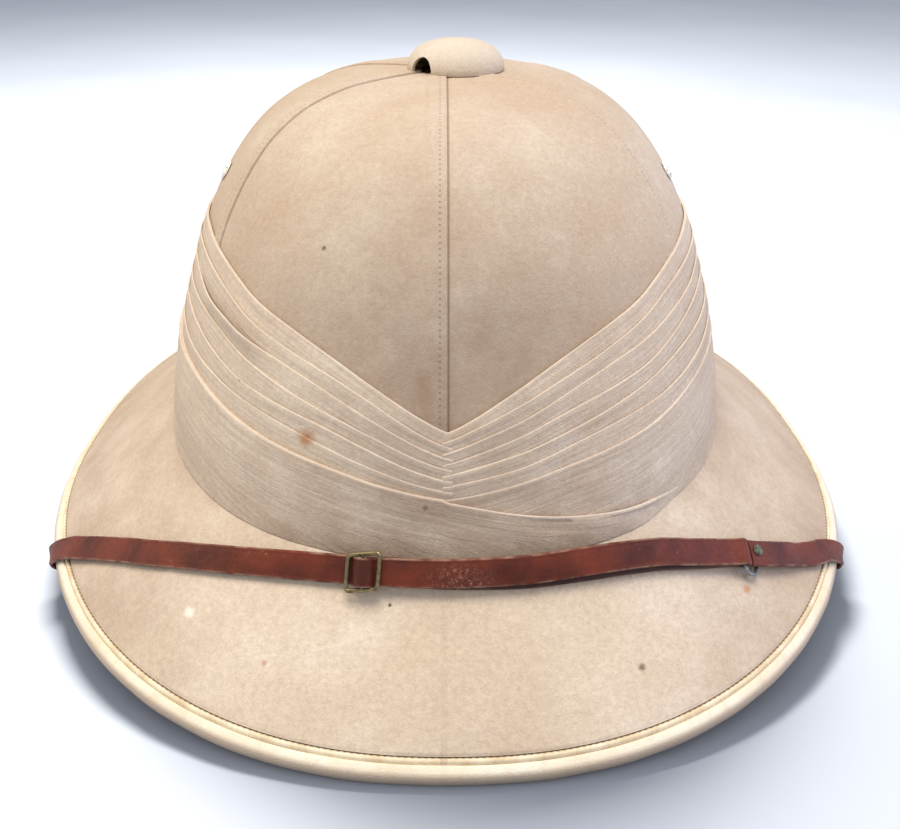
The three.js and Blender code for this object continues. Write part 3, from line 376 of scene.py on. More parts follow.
def cotton(name, pale, deep, dust_and_shade, stains=(), streaks=0.0, stitched=True):
    """Brushed cotton: matt, with a soft nap that hides most of the weave and holds dirt in clouds.
    A mask lays a darker tint over it that is partly dirt and partly painted shade.
    Its threads are 0.5 mm apart in the real cloth, drawn 0.9 mm apart so that they show at all."""
    material, tree, shader, place = new_material(name)
    laid = node(tree, "ShaderNodeAttribute", attribute_name="laid").outputs["Vector"]
    axes = node(tree, "ShaderNodeSeparateXYZ", {0: laid})
    across, up, edge = axes.outputs[0], axes.outputs[1], axes.outputs[2]
    threads = []
    for line in (across, up):
        turns = node(tree, "ShaderNodeMath", {0: line, 1: 2 * math.pi / THREAD_SHOWN}, operation="MULTIPLY")
        threads.append(node(tree, "ShaderNodeMath", {0: turns.outputs[0]}, operation="SINE").outputs[0])
    weave = node(tree, "ShaderNodeMath", {0: threads[0], 1: threads[1]}, operation="MULTIPLY").outputs[0]
    nap = pattern(tree, place, 0.9, 0.3, 0.7, detail=4, rough=0.7)
    grain = pattern(tree, place, 1.7, 0.36, 0.62, detail=6, rough=0.9)
    clouds = pattern(tree, place, 17, 0.36, 0.68, detail=4, rough=0.6)
    fields = pattern(tree, place, 48, 0.38, 0.66, detail=3)
    colour = over(tree, linear(pale), deep, fields)
    colour = over(tree, colour, deep, clouds, 0.5)
    colour = over(tree, colour, dust_and_shade, grain, 0.34)
    # the darker tint that this mask lays on is partly dirt and partly painted shade
    soil_and_shade = node(tree, "ShaderNodeAttribute", attribute_name="soil_and_shade").outputs["Fac"]
    thicker = node(tree, "ShaderNodeMath", {0: clouds, 1: 0.35, 2: 0.5}, operation="MULTIPLY_ADD").outputs[0]
    soil_and_shade = node(tree, "ShaderNodeMath", {0: soil_and_shade, 1: thicker}, operation="MULTIPLY").outputs[0]
    colour = over(tree, colour, dust_and_shade, soil_and_shade)
    weave = node(tree, "ShaderNodeMath", {0: weave, 1: 0.16}, operation="MULTIPLY").outputs[0]
    bumps = node(tree, "ShaderNodeMath", {0: nap, 1: 0.7, 2: weave}, operation="MULTIPLY_ADD").outputs[0]
    if streaks:
        # the folded edges are painted paler than the faces: a painted highlight where they catch the light
        rubbed = node(tree, "ShaderNodeMapRange", {0: edge, 1: 0.45, 2: 0.15}).outputs[0]
        colour = over(tree, colour, "#f1e7da", rubbed, 0.25)
        # long faint creases along the folds, where the cloth was pulled round the crown
        drawn = node(tree, "ShaderNodeVectorMath", {0: laid, 1: (0.035, 0.75, 0)}, operation="MULTIPLY")
        drawn = node(tree, "ShaderNodeTexNoise", {"Vector": drawn.outputs[0], "Scale": 1, "Detail": 4})
        drawn = node(tree, "ShaderNodeMapRange", {0: drawn.outputs[0], 1: 0.35, 2: 0.65}).outputs[0]
        colour = over(tree, colour, dust_and_shade, drawn, 0.3 * streaks)
        bumps = node(tree, "ShaderNodeMath", {0: drawn, 1: 1.1 * streaks, 2: bumps},
                     operation="MULTIPLY_ADD").outputs[0]
    if stitched:
        # dirt and painted shade at the foot of the seam's step, and a stitch row with painted shade in a hole
        # between two stitches
        seam_dirt_and_shade = node(tree, "ShaderNodeMapRange", {0: across, 1: 0.75, 2: 0.25}).outputs[0]
        colour = over(tree, colour, "#6b5340", seam_dirt_and_shade, 0.6)
        off = node(tree, "ShaderNodeMath", {0: edge, 1: STITCH_FROM_EDGE}, operation="SUBTRACT").outputs[0]
        off = node(tree, "ShaderNodeMath", {0: off}, operation="ABSOLUTE").outputs[0]
        row = node(tree, "ShaderNodeMapRange", {0: off, 1: 0.34, 2: 0.12}).outputs[0]
        beat = node(tree, "ShaderNodeMath", {0: up, 1: 2 * math.pi / STITCH_PITCH}, operation="MULTIPLY")
        beat = node(tree, "ShaderNodeMath", {0: beat.outputs[0]}, operation="SINE").outputs[0]
        stitch_hole_shade = node(tree, "ShaderNodeMapRange", {0: beat, 1: 0.35, 2: 0.85}).outputs[0]
        stitch_hole_shade = node(tree, "ShaderNodeMath", {0: stitch_hole_shade, 1: row}, operation="MULTIPLY").outputs[0]
        colour = over(tree, colour, "#5a4535", stitch_hole_shade, 0.45)
        bumps = node(tree, "ShaderNodeMath", {0: stitch_hole_shade, 1: -1.6, 2: bumps},
                     operation="MULTIPLY_ADD").outputs[0]
    for spot, size, tint, strength in stains:
        ragged = node(tree, "ShaderNodeTexNoise", {"Vector": place, "Scale": 2.2 / size, "Detail": 3})
        offset = node(tree, "ShaderNodeVectorMath", {0: ragged.outputs["Color"], 1: (0.5, 0.5, 0.5)},
                      operation="SUBTRACT").outputs[0]
        offset = node(tree, "ShaderNodeVectorMath", {0: offset, "Scale": size * 0.9}, operation="SCALE")
        moved = node(tree, "ShaderNodeVectorMath", {0: place, 1: offset.outputs[0]}, operation="ADD")
        far = node(tree, "ShaderNodeVectorMath", {0: moved.outputs[0], 1: spot}, operation="DISTANCE")
        share = node(tree, "ShaderNodeMapRange", {
            0: far.outputs["Value"], 1: size, 2: size * 0.35, 3: 0, 4: strength}).outputs[0]
        colour = over(tree, colour, tint, share)
    bump = node(tree, "ShaderNodeBump", {"Strength": 0.45, "Distance": 0.0003, "Height": bumps}).outputs[0]
    feed(tree, shader, {"Base Color": colour, "Roughness": 0.93, "Normal": bump, "Specular IOR Level": 0.2,
                        "Sheen Weight": 0.12, "Sheen Roughness": 0.5, "Sheen Tint": linear("#f2e4cd")})
    return material


cover_cotton = cotton("brushed_cotton_drill", "#d8c9b4", "#c8b299", "#8d7260", stains=[
    ((-34.5, -107.3, 126.0), 1.0, "#5a4a3c", 0.8),
])
# the brim's cotton has faded paler; each spot is a stain's place, radius, colour and strength
brim_cotton = cotton("brim_cotton_drill", "#f0e0ca", "#dfcbb0", "#8d7260", stains=[
    ((-74.6, -143.0, 27.7), 2.3, "#f6f0e2", 0.8),
    ((-16.0, -153.3, 37.9), 0.7, "#3f342b", 0.9),
    ((54.3, -159.6, 21.3), 1.5, "#6b4f3c", 0.8),
    ((-51.0, -159.5, 22.7), 1.2, "#b98d63", 0.6),
    ((89.6, -131.5, 27.4), 2.0, "#b9773f", 0.6),
])


def out_and_back(face, back):
    """Points out along a sheet's face and back along its reverse, as a ring has them."""
    return np.concatenate([face, back[:, ::-1]], 1)


# rows up the crown, and how far the columns are from a panel's tucked and from its folded edge
climbs = np.concatenate([np.linspace(0.004, 0.88, 88), np.linspace(0.89, COVER_TOP, 6)])
from_low = np.array([0, 0.5, 1.2, 2.2])
from_high = np.array([0, 0.1, 0.25, 0.5, 0.9, 1.5, 2.1, 2.7, 3.6, 4.6, 5.3, 5.9, 6.6, 7.6, 9])
for number in range(PANELS):
    low, high = 60 * number, 60 * (number + 1)
    track = np.linspace(low, high, 121)
    rows = []
    for climb in climbs:
        line = crown_point(track, np.full(len(track), climb))
        run = run_along(line)
        width = run[-1]
        shrink = min(1, 0.42 * width / from_high[-1])
        inner = np.linspace(from_low[-1] * shrink, width - from_high[-1] * shrink, 40)[1:-1]
        stops = np.concatenate([from_low * shrink, inner, width - from_high[::-1] * shrink])
        azimuth = np.interp(stops, run, track)
        from_edge = width - stops
        fold = np.sqrt(np.clip(1 - (1 - np.clip(from_edge / 0.5, 0, 1)) ** 2, 0, 1))
        lap = LAP_HEIGHT * fold * (1 - smooth((from_edge - LAP_WIDTH + 1) / 1.4))
        tuck = -0.2 * (1 - smooth(stops / 2.2)) - 0.1 * (from_edge < 0.05)
        face = crown_out(azimuth, np.full(len(stops), climb), lap + tuck)
        rows.append((face, azimuth, lap + tuck, stops, from_edge))
    face = np.stack([row[0] for row in rows], 1)
    azimuth = np.stack([row[1] for row in rows], 1)
    height = np.stack([row[2] for row in rows], 1)
    height = height + wobble(face, 34, 0.35)
    grid_climb = np.broadcast_to(climbs, azimuth.shape)
    face = crown_out(azimuth, grid_climb, height)
    back = crown_out(azimuth, grid_climb, height - CLOTH)
    rise = run_along(face[20])
    stops = np.stack([row[3] for row in rows], 1)
    from_edge = np.stack([row[4] for row in rows], 1)
    laid = np.stack([stops, np.broadcast_to(rise, stops.shape), from_edge], -1)
    near_front = np.exp(-((np.abs((azimuth + 180) % 360 - 180) / 34) ** 2))
    # darker low at the front of the crown: partly dirt, partly painted shade
    soil_and_shade = 0.95 * near_front * (1 - smooth((grid_climb - 0.2) / 0.5))
    panel = loft(f"crown_cloth_{number + 1}", out_and_back(face, back), cover_cotton,
                 [f"cover_panel_{number + 1}"],
                 facts={"laid": out_and_back(laid, laid), "soil_and_shade": out_and_back(soil_and_shade, soil_and_shade)})

# BRIM COVER. One ring of the same cotton, glued over the brim from the crown's foot to the welt.
BINDING_TOP_REACH = 5.3
BINDING_UNDER_REACH = 9
WELT_WIDTH = 1.6
WELT_HEIGHT = 1.2
WELT_STITCH_PITCH = 1.9
ROUND = 720

azimuths = np.arange(ROUND) * 360 / ROUND
reach = brim_length(azimuths)
stop = 1 - (BINDING_TOP_REACH - ROLL_OUTER + WELT_WIDTH + 2 * GAP) / reach
start = 1.5 * GAP / reach
shares = np.concatenate([np.linspace(0, 0.955, 40), [0.968, 0.98, 0.988, 0.994, 1]])
across = start[:, None] + (stop - start)[:, None] * shares
turned = np.broadcast_to(azimuths[:, None], across.shape)
to_edge = (stop[:, None] - across) * reach[:, None]
level = brim_top(turned, across, np.zeros(across.shape))
height = wobble(level, 40, 0.5) + wobble(level, 13, 0.12) - 0.35 * (1 - smooth(to_edge / 0.7))
height = height * smooth(to_edge / 1.2 + 0.25)
run = run_along(rim_point(azimuths))
laid = np.stack([run[:, None] + 20 + 0 * across, across * reach[:, None], to_edge + 20], -1)
# darker near the welt, near the crown's foot and at the sides: painted shade, with a little dirt
soil_and_shade = 0.02 + 0.14 * np.exp(-((to_edge / 14) ** 2)) + 0.1 * np.exp(-((across * reach[:, None] / 6) ** 2))
soil_and_shade = soil_and_shade + 0.46 * smooth((np.abs(np.sin(np.radians(turned))) - 0.3) / 0.6)
face, back = brim_top(turned, across, height), brim_top(turned, across, height - CLOTH)
brim_cloth = loft("brim_cloth", out_and_back(face, back), brim_cotton, ["brim_cover"],
                  wrap=True, facts={"laid": out_and_back(laid, laid), "soil_and_shade": out_and_back(soil_and_shade, soil_and_shade)})

# WELT. A strip of the binding's own leather, folded double and stitched down between the cloth and
# the binding; a row of stitches runs in the groove at each side of it.
# The same cream as the binding, with painted shade in the groove along one side and in the stitch holes there
welt_leather, tree, shader, place = new_material("stitched_calf_welt")
laid_at = node(tree, "ShaderNodeAttribute", attribute_name="laid").outputs["Vector"]
axes = node(tree, "ShaderNodeSeparateXYZ", {0: laid_at})
beat = node(tree, "ShaderNodeMath", {0: axes.outputs[0], 1: 2 * math.pi / WELT_STITCH_PITCH},
            operation="MULTIPLY")
beat = node(tree, "ShaderNodeMath", {0: beat.outputs[0]}, operation="SINE").outputs[0]
groove_shade = node(tree, "ShaderNodeMapRange", {0: axes.outputs[1], 1: 0.55, 2: 0.85}).outputs[0]
stitch = node(tree, "ShaderNodeMapRange", {0: beat, 1: -0.2, 2: 0.5}).outputs[0]
worn = pattern(tree, place, 7, 0.4, 0.65, detail=4)
colour = over(tree, linear("#efdfc0"), "#d9c29b", worn)
# painted shade in the groove and in its stitch holes
colour = over(tree, colour, "#8a6c52", groove_shade, 0.55)
welt_hole_shade = node(tree, "ShaderNodeMath", {0: groove_shade, 1: stitch}, operation="MULTIPLY").outputs[0]
colour = over(tree, colour, "#4a3526", welt_hole_shade, 0.6)
rub = node(tree, "ShaderNodeMath", {0: beat, 1: 0.4}, operation="MULTIPLY").outputs[0]
bump = node(tree, "ShaderNodeBump", {"Strength": 0.5, "Distance": 0.0003, "Height": rub}).outputs[0]
feed(tree, shader, {"Base Color": colour, "Roughness": 0.75, "Normal": bump})

section = []
for share, up in ((-1.35, 0), (-1.3, 0.5), (-0.85, 0.78), (-0.35, 0.97), (0, 1), (0.35, 0.97), (0.8, 0.8),
                  (1.05, 0.45), (1.15, 0), (0.3, 0), (0, 0), (-0.3, 0)):
    from_roll = BINDING_TOP_REACH - ROLL_OUTER + GAP + WELT_WIDTH / 2 * (1 + share)
    out = GAP - SKIN + WELT_HEIGHT * up
    section.append(brim_top(azimuths, 1 - from_roll / reach, np.full(ROUND, out)))
rings = np.stack(section, 1)
sides = np.array([-1, -0.92, -0.7, -0.35, 0, 0.35, 0.7, 0.92, 1, 1, 1, 1])
laid = np.stack([np.broadcast_to(run[:, None], rings.shape[:2]), np.broadcast_to(sides, rings.shape[:2]),
                 np.zeros(rings.shape[:2])], -1)
loft("welt", rings, welt_leather, ["edge_welt"], wrap=True, facts={"laid": laid})

# BINDING. A strip of cream glove leather folded round the rim and stitched through; it is rubbed and
# a little cracked on the outside of the roll, and pressed flat where the helmet stands on it.
# Glove leather is tanned soft: half matt, with fine pores and drawn wrinkles; its lower side is
# darkened with painted shade
calf, tree, shader, place = new_material("cream_glove_leather")
laid_at = node(tree, "ShaderNodeAttribute", attribute_name="laid").outputs["Vector"]
axes = node(tree, "ShaderNodeSeparateXYZ", {0: laid_at})
grain = node(tree, "ShaderNodeTexVoronoi", {"Vector": place, "Scale": 1.15, "Randomness": 1},
             feature="DISTANCE_TO_EDGE").outputs[0]
pores = node(tree, "ShaderNodeMapRange", {0: grain, 1: 0.02, 2: 0.16}).outputs[0]
soft = pattern(tree, place, 9, 0.36, 0.68, detail=4)
long_soft = pattern(tree, place, 38, 0.4, 0.65)
drawn = node(tree, "ShaderNodeVectorMath", {0: laid_at, 1: (0.32, 0.2, 0)}, operation="MULTIPLY").outputs[0]
wrinkles = node(tree, "ShaderNodeTexNoise", {"Vector": drawn, "Scale": 1, "Detail": 4}).outputs[0]
wrinkles = node(tree, "ShaderNodeMapRange", {0: wrinkles, 1: 0.5, 2: 0.8}).outputs[0]
colour = over(tree, linear("#f9eed8"), "#ecd9b8", soft, 0.5)
colour = over(tree, colour, "#dcc49c", long_soft, 0.45)
# painted shade on the roll's lower side, which faces away from the light
lower_side_shade = node(tree, "ShaderNodeMapRange", {0: axes.outputs[1], 1: 2.1, 2: 3.7}).outputs[0]
colour = over(tree, colour, "#b5a28d", lower_side_shade, 0.92)
colour = over(tree, colour, "#a98d6b", wrinkles, 0.22)
nicks = node(tree, "ShaderNodeTexNoise", {"Vector": place, "Scale": 0.55, "Detail": 5, "Roughness": 0.75})
nicks = node(tree, "ShaderNodeMapRange", {0: nicks.outputs[0], 1: 0.69, 2: 0.73}).outputs[0]
colour = over(tree, colour, "#6e573f", nicks, 0.6)
shine = node(tree, "ShaderNodeMath", {0: soft, 1: 0.16, 2: 0.5}, operation="MULTIPLY_ADD").outputs[0]
dips = node(tree, "ShaderNodeMath", {0: wrinkles, 1: -0.9}, operation="MULTIPLY").outputs[0]
dips = node(tree, "ShaderNodeMath", {0: pores, 1: 0.5, 2: dips}, operation="MULTIPLY_ADD").outputs[0]
bump = node(tree, "ShaderNodeBump", {"Strength": 0.35, "Distance": 0.0003, "Height": dips}).outputs[0]
feed(tree, shader, {"Base Color": colour, "Roughness": shine, "Normal": bump})


def leg(azimuth, under, back_from_rim, out):
    share = 1 - (back_from_rim - ROLL_OUTER) / brim_length(azimuth)
    if under:
        return brim_under(azimuth, share, out)
    return brim_top(azimuth, share, np.full(len(azimuth), out - SKIN))


section = [leg(azimuths, False, BINDING_TOP_REACH, GAP + BINDING_LEATHER * 0.55)]
section += [leg(azimuths, False, BINDING_TOP_REACH - 0.25, GAP + BINDING_LEATHER * 0.9)]
section += [leg(azimuths, False, BINDING_TOP_REACH - 0.8, GAP + BINDING_LEATHER)]
section += [roll_point(azimuths, turn, ROLL_OUTER) for turn in range(90, -91, -15)]
section += [leg(azimuths, True, back, GAP + BINDING_LEATHER) for back in (5, 7, BINDING_UNDER_REACH - 0.3)]
section += [leg(azimuths, True, BINDING_UNDER_REACH, GAP + BINDING_LEATHER * 0.6)]
section += [leg(azimuths, True, back, GAP) for back in (BINDING_UNDER_REACH, 7, 5)]
section += [roll_point(azimuths, turn, ROLL_INNER) for turn in range(-90, 91, 20)]
section += [leg(azimuths, False, BINDING_TOP_REACH, GAP)]
rings = np.stack(section, 1)
middle = rings.mean(1, keepdims=True)
rings = rings + unit(rings - middle) * wobble(rings, 11, 0.16)[..., None]
rings[..., 2] = np.maximum(rings[..., 2], 0)
way = run_along(rings[0])
laid = np.stack([np.broadcast_to(run[:, None], rings.shape[:2]), np.broadcast_to(way, rings.shape[:2]),
                 np.zeros(rings.shape[:2])], -1)
loft("binding", rings, calf, ["edge_binding"], wrap=True, facts={"laid": laid})

# FOLDED BAND. One long strip of fine cotton wound round the crown in narrow pleats that climb from the
# front to the sides. The pleats of the two sides pass over each other in turn where they meet.
# azimuth, climb of the uppermost pleat's folded edge, climb of the lowest pleat's lower edge
BAND_EDGES = (
    (0, 0.185, 0.081), (10, 0.24, 0.101), (20, 0.284, 0.122), (30, 0.315, 0.135), (40, 0.338, 0.145),
    (50, 0.365, 0.156), (60, 0.383, 0.165), (72, 0.395, 0.172), (90, 0.388, 0.178),
)
PLEATS = 6
PLEAT_COLUMNS = 216
PLEAT_OVERLAP = 1.1
PLEAT_CLOTH = 0.4
PLEAT_LIP = 1.6
PLEAT_FOOT = 1.05
PLEAT_DOUBLED = 0.5
CROSSING = 1.3
BEYOND = 0.9

band_top = curve(BAND_EDGES, 1)
band_low = curve(BAND_EDGES, 2)
# a finer cotton, bleached paler by the sun than the cover, with painted highlights on its folded edges and
# spots of rust and dirt
band_cotton = cotton("fine_pleated_cotton", "#f1e3cf", "#e0cdb6", "#947963", streaks=0.8, stitched=False,
                     stains=[
    ((-40.1, -131.9, 78.9), 3.8, "#a8703c", 0.75),
    ((-60.6, -113.8, 88.5), 1.0, "#4a3c30", 0.8),
    ((-59.0, -115.6, 90.2), 0.6, "#4a3d31", 0.8),
    ((-62.2, -112.2, 91.0), 0.6, "#5a4a3a", 0.8),
    ((-57.2, -117.4, 88.8), 0.5, "#5a4a3a", 0.7),
    ((-64.0, -110.6, 92.0), 0.5, "#5a4a3a", 0.7),
    ((-6.2, -143.6, 63.1), 1.3, "#4a3a2c", 0.9),
    ((6.2, -143.9, 61.7), 0.7, "#4a3a2c", 0.85),
    ((38.1, -132.6, 79.5), 0.9, "#6b5140", 0.8),
    ((27.9, -139.2, 69.6), 0.9, "#6b5140", 0.8),
    ((71.3, -117.0, 53.5), 1.2, "#5b4433", 0.85),
])


def pleat_climb(azimuth, edge, side, crossing=False):
    """Climb of a pleat's folded edge; near the front the two sides are half a pleat apart."""
    turned = np.abs(azimuth)
    turned = np.where(turned > 180, 360 - turned, turned)
    folded = np.where(turned > 90, 180 - turned, turned)
    top, low = band_top(folded), band_low(folded)
    if crossing:
        # a pleat's end runs straight on past the middle, where it is tucked under the other side
        past = (azimuth * side < 0) | (turned < np.abs(azimuth))
        top = np.where(past, 2 * band_top(0 * folded) - top, top)
        low = np.where(past, 2 * band_low(0 * folded) - low, low)
    pitch = (top - low) / PLEATS
    drift = 0.10 * pitch * np.sin(azimuth * 0.11 + edge * 2.3) * smooth(folded / 25)
    apart = side * pitch / 4 * (1 - smooth(folded / 13)) * (edge > 0) * (edge < PLEATS)
    return top - pitch * edge + drift * (edge > 0) + apart


def climb_scale(azimuth, climb):
    """Millimetres along the crown for one whole climb."""
    step = crown_point(azimuth, climb + 0.01) - crown_point(azimuth, climb)
    return np.linalg.norm(step, axis=-1) / 0.01


x_ahead = np.array([-CROSSING - BEYOND, -CROSSING - 0.5, -CROSSING, -0.6, 0.0, 0.6, 1.3, 2.2, 3.2, 4.6])
near = np.degrees(np.sign(x_ahead) * (np.abs(x_ahead) / 90) ** 1.17)
stations = np.concatenate([near, np.linspace(4, 176, PLEAT_COLUMNS), 180 - near[::-1]])
end_drop = smooth((-np.minimum(x_ahead, 0) - CROSSING) / BEYOND)
drop = np.concatenate([end_drop, np.zeros(PLEAT_COLUMNS), end_drop[::-1]])
run_band = run_along(crown_point(stations, np.full(len(stations), 0.2)))
for side in (1, -1):
    for number in range(PLEATS):
        azimuth = stations * side
        high = pleat_climb(azimuth, number, side, crossing=True)
        low = pleat_climb(azimuth, number + 1, side, crossing=True)
        scale = climb_scale(azimuth, high)
        pitch = (high - low) * scale
        lip = PLEAT_LIP + 0.1 * smooth(np.abs(azimuth) / 60) - 0.85 * drop
        foot = PLEAT_FOOT - 0.5 * drop
        doubled = np.full(len(azimuth), PLEAT_DOUBLED)
        if number == 0:
            # nothing lies under the uppermost pleat, so its folded edge is down on the crown
            lip = lip - 0.5
            doubled = lip - 0.2
        lift = np.zeros(len(azimuth))
        if side == -1 and number == 2:
            # this pleat has come loose at the left and stands away from the next one
            lift = 1.3 * smooth((azimuth + 66) / 14) * (1 - smooth((azimuth + 44) / 14))
        profile = []
        for down, share in ((0.02, 0.75), (0.0, 0.4), (0.1, 0.13), (0.3, 0), (0.6, -0.02)):
            profile.append((np.full(len(azimuth), down), lip - share * doubled))
        for share in (0.25, 0.45, 0.65, 0.85):
            sag = (lip - foot) * share**0.85
            profile.append((0.6 + (pitch + PLEAT_OVERLAP - 0.6) * share, lip - sag))
        profile.append((pitch + PLEAT_OVERLAP, foot))
        profile.append((pitch + PLEAT_OVERLAP, foot - PLEAT_CLOTH))
        for share in (0.85, 0.65, 0.45, 0.25):
            sag = (lip - foot) * share**0.85
            profile.append((0.6 + (pitch + PLEAT_OVERLAP - 0.6) * share, lip - sag - PLEAT_CLOTH))
        for down, share in ((0.6, 0.95), (0.4, 1), (0.25, 0.98), (0.12, 0.92), (0.06, 0.84)):
            profile.append((np.full(len(azimuth), down), lip - share * doubled))
        rings, laid = [], []
        for down, out in profile:
            loose = lift * (1 - smooth((down - 0.5) / np.maximum(pitch * 0.9, 1)))
            climb = high - down / scale
            spot = crown_point(azimuth, climb)
            crumple = wobble(spot * (1, 1, 2.4), 9, 0.12) * smooth(down / 1.5)
            rings.append(crown_out(azimuth, climb, out + loose + crumple))
            laid.append(np.stack([run_band, down + 9.0 * number, down], -1))
        rings = np.stack(rings, 1)
        soil_and_shade = 0.42 * np.exp(-((np.abs(azimuth) / 28) ** 2)) + 0.05
        soil_and_shade = np.broadcast_to(soil_and_shade[:, None], rings.shape[:2])
        hand = "right" if side > 0 else "left"
        pleat = loft(f"pleat_{hand}_{number + 1}", rings, band_cotton,
                     [f"fold_{hand}_{number + 1}"], facts={"laid": np.stack(laid, 1), "soil_and_shade": soil_and_shade}, sharp=70)
        length, cut_width = np.ptp(run_band) / 1000, (pitch.mean() + PLEAT_OVERLAP + 0.8) / 1000

# BAND FOOT AND WRAP. Under the pleats the strip lies plain down to the brim; its last turn covers the
# left side and sweeps down into the foot at the right of the front, with a folded upper edge.
# azimuth and climb of the last turn's folded edge, right of the front
WRAP_SWEEP = ((0, 0.077), (7.5, 0.058), (15, 0.043), (22.5, 0.031), (30, 0.021), (37.5, 0.014), (45, 0.006))
# how far each turn's folded lip, face and back stand off the crown
PLAIN_LIP, PLAIN_FACE, PLAIN_BACK = 1.6, 1.25, 0.5
WRAP_LIP, WRAP_FACE, WRAP_BACK = 2.35, 2.15, 1.5
WRAP_THINS_FROM = 31
WRAP_END = 44.5
sweep = curve(WRAP_SWEEP, 1)


def band_foot(azimuth, out, over_brim):
    """Where the band's face, that far off the crown, meets the brim, that far above it."""
    wall, floor = crown_normal(azimuth, 0), brim_frame(azimuth)[3]
    cosine = np.sum(wall * floor, -1, keepdims=True)
    scale = 1 - cosine**2
    return (crown_point(azimuth, 0) + wall * (out - over_brim * cosine) / scale
            + floor * (over_brim - out * cosine) / scale)


def plain_turn(name, azimuth, top, lip, face_out, back_out, stands_for, wrap):
    """A turn of the band from its folded upper edge down to the brim."""
    scale = climb_scale(azimuth, top)
    tall = top * scale
    rings, laid = [], []
    for down, up in ((0.02, -0.45), (0, -0.25), (0.12, -0.08), (0.35, 0), (0.8, 0)):
        rings.append(crown_out(azimuth, top - np.minimum(down, tall * 0.5) / scale, lip + up))
        laid.append(np.full(len(azimuth), down))
    for share in (0.12, 0.25, 0.4, 0.55, 0.7, 0.85):
        climb = top * (1 - share)
        settle = np.minimum(tall * share / 3, 1)
        out = lip - (lip - face_out) * settle
        spot = crown_point(azimuth, climb)
        drawn = np.stack([spot[:, 0] * 0.55, spot[:, 1] * 0.55, spot[:, 2] * 1.6 + spot[:, 0] * 0.5], -1)
        creases = wobble(drawn, 9, 0.42)
        rings.append(crown_out(azimuth, climb, out + creases * smooth(share * 3)))
        laid.append(tall * share)
    rings.append(band_foot(azimuth, np.broadcast_to(face_out, azimuth.shape)[:, None], GAP))
    laid.append(tall)
    rings.append(band_foot(azimuth, np.broadcast_to(back_out, azimuth.shape)[:, None], GAP))
    laid.append(tall)
    for share in (0.85, 0.7, 0.55, 0.4, 0.25, 0.12):
        rings.append(crown_out(azimuth, top * (1 - share), np.full(len(azimuth), back_out)))
        laid.append(tall * share)
    for down in (0.8, 0.5, 0.3, 0.15, 0.06):
        rings.append(crown_out(azimuth, top - np.minimum(down, tall * 0.5) / scale,
                               np.full(len(azimuth), back_out)))
        laid.append(np.full(len(azimuth), down))
    rings = np.stack(rings, 1)
    run = run_along(rings[:, 4])
    laid = np.stack([np.broadcast_to(run[:, None], rings.shape[:2]), np.stack(laid, 1) + 60,
                     np.stack(laid, 1)], -1)
    # hands and dust have soiled the front; the darkening at the foot all the way round is painted shade where
    # the band meets the brim
    soil_and_shade = 0.7 * np.exp(-((np.abs(azimuth) / 32) ** 2)) + 0.05
    soil_and_shade = np.broadcast_to(soil_and_shade[:, None], rings.shape[:2]) + 0.25 * smooth((laid[..., 2] - 14) / 8)
    piece = loft(name, rings, band_cotton, stands_for, wrap=wrap,
                 facts={"laid": laid, "soil_and_shade": soil_and_shade}, sharp=70)


azimuth = np.arange(480) * 0.75
azimuth = np.where(azimuth > 180, azimuth - 360, azimuth)
plain_turn("band_plain", azimuth, pleat_climb(azimuth, PLEATS, 1), PLAIN_LIP, PLAIN_FACE, PLAIN_BACK,
           ["band_base"], True)
azimuth = np.linspace(-180, WRAP_END, 330)
top = np.where(azimuth < 0, pleat_climb(azimuth, PLEATS, -1), sweep(np.maximum(azimuth, 0)))
# the turn's end is pressed thin, so it melts into the pleats at the right of the front
ending = smooth((azimuth - WRAP_THINS_FROM) / (WRAP_END - WRAP_THINS_FROM))
plain_turn("band_wrapped", azimuth, top, WRAP_LIP - 0.95 * ending, WRAP_FACE - 0.95 * ending,
           WRAP_BACK - 0.65 * ending, ["band_wrap"], False)

# VENT CAP. A low dome of pith covered with the cover's cotton, which screws on to a pin in the crown's
# top; an arched notch in its edge lets the air out.
CAP_RADIUS = 16.1
CAP_HEIGHT = 9.7
CAP_WALL = 1.2
CAP_AT = (3.1, CROWN_TOP_Y, 160.9)
NOTCH_AZIMUTH = -47
NOTCH_RADIUS = 4.6
# the cover's cotton again, sewn tight over the dome and a little paler
cap_cotton = cotton("cap_cotton", "#e1d6c6", "#d4c6b2", "#b59c7c", stitched=False)
turns = np.radians(np.arange(96) * 3.75)
profile = ((0, 1), (0.2, 0.99), (0.4, 0.95), (0.56, 0.885), (0.7, 0.79), (0.82, 0.66), (0.91, 0.5),
           (0.965, 0.34), (0.99, 0.2), (1.0, 0.08), (0.985, 0.0))
rows = []
for radius, height in profile:
    rows.append([(radius * CAP_RADIUS * math.sin(t), -radius * CAP_RADIUS * math.cos(t), height * CAP_HEIGHT)
                 for t in turns])
for radius, height in reversed(profile):
    inner = radius * (CAP_RADIUS - CAP_WALL)
    rows.append([(inner * math.sin(t), -inner * math.cos(t), height * (CAP_HEIGHT - CAP_WALL))
                 for t in turns])
rows = np.array(rows)
rows = rows * (1 + wobble(rows, 7, 0.012)[..., None]) + np.array(CAP_AT)
cap = skin("vent_dome", rows, cap_cotton, ["vent_cap"])
cutter_mesh = bpy.data.meshes.new("notch")
cutter = bmesh.new()
bmesh.ops.create_cone(cutter, cap_ends=True, segments=40, radius1=NOTCH_RADIUS / 1000,
                      radius2=NOTCH_RADIUS / 1000, depth=CAP_RADIUS / 1000)
bmesh.ops.rotate(cutter, verts=cutter.verts, cent=(0, 0, 0),
                 matrix=Vector((0, 1, 0)).rotation_difference(Vector((0, 0, 1))).to_matrix())
bmesh.ops.translate(cutter, verts=cutter.verts, vec=(0, -CAP_RADIUS / 1000, 0.0006))
cutter.to_mesh(cutter_mesh)
cutter.free()
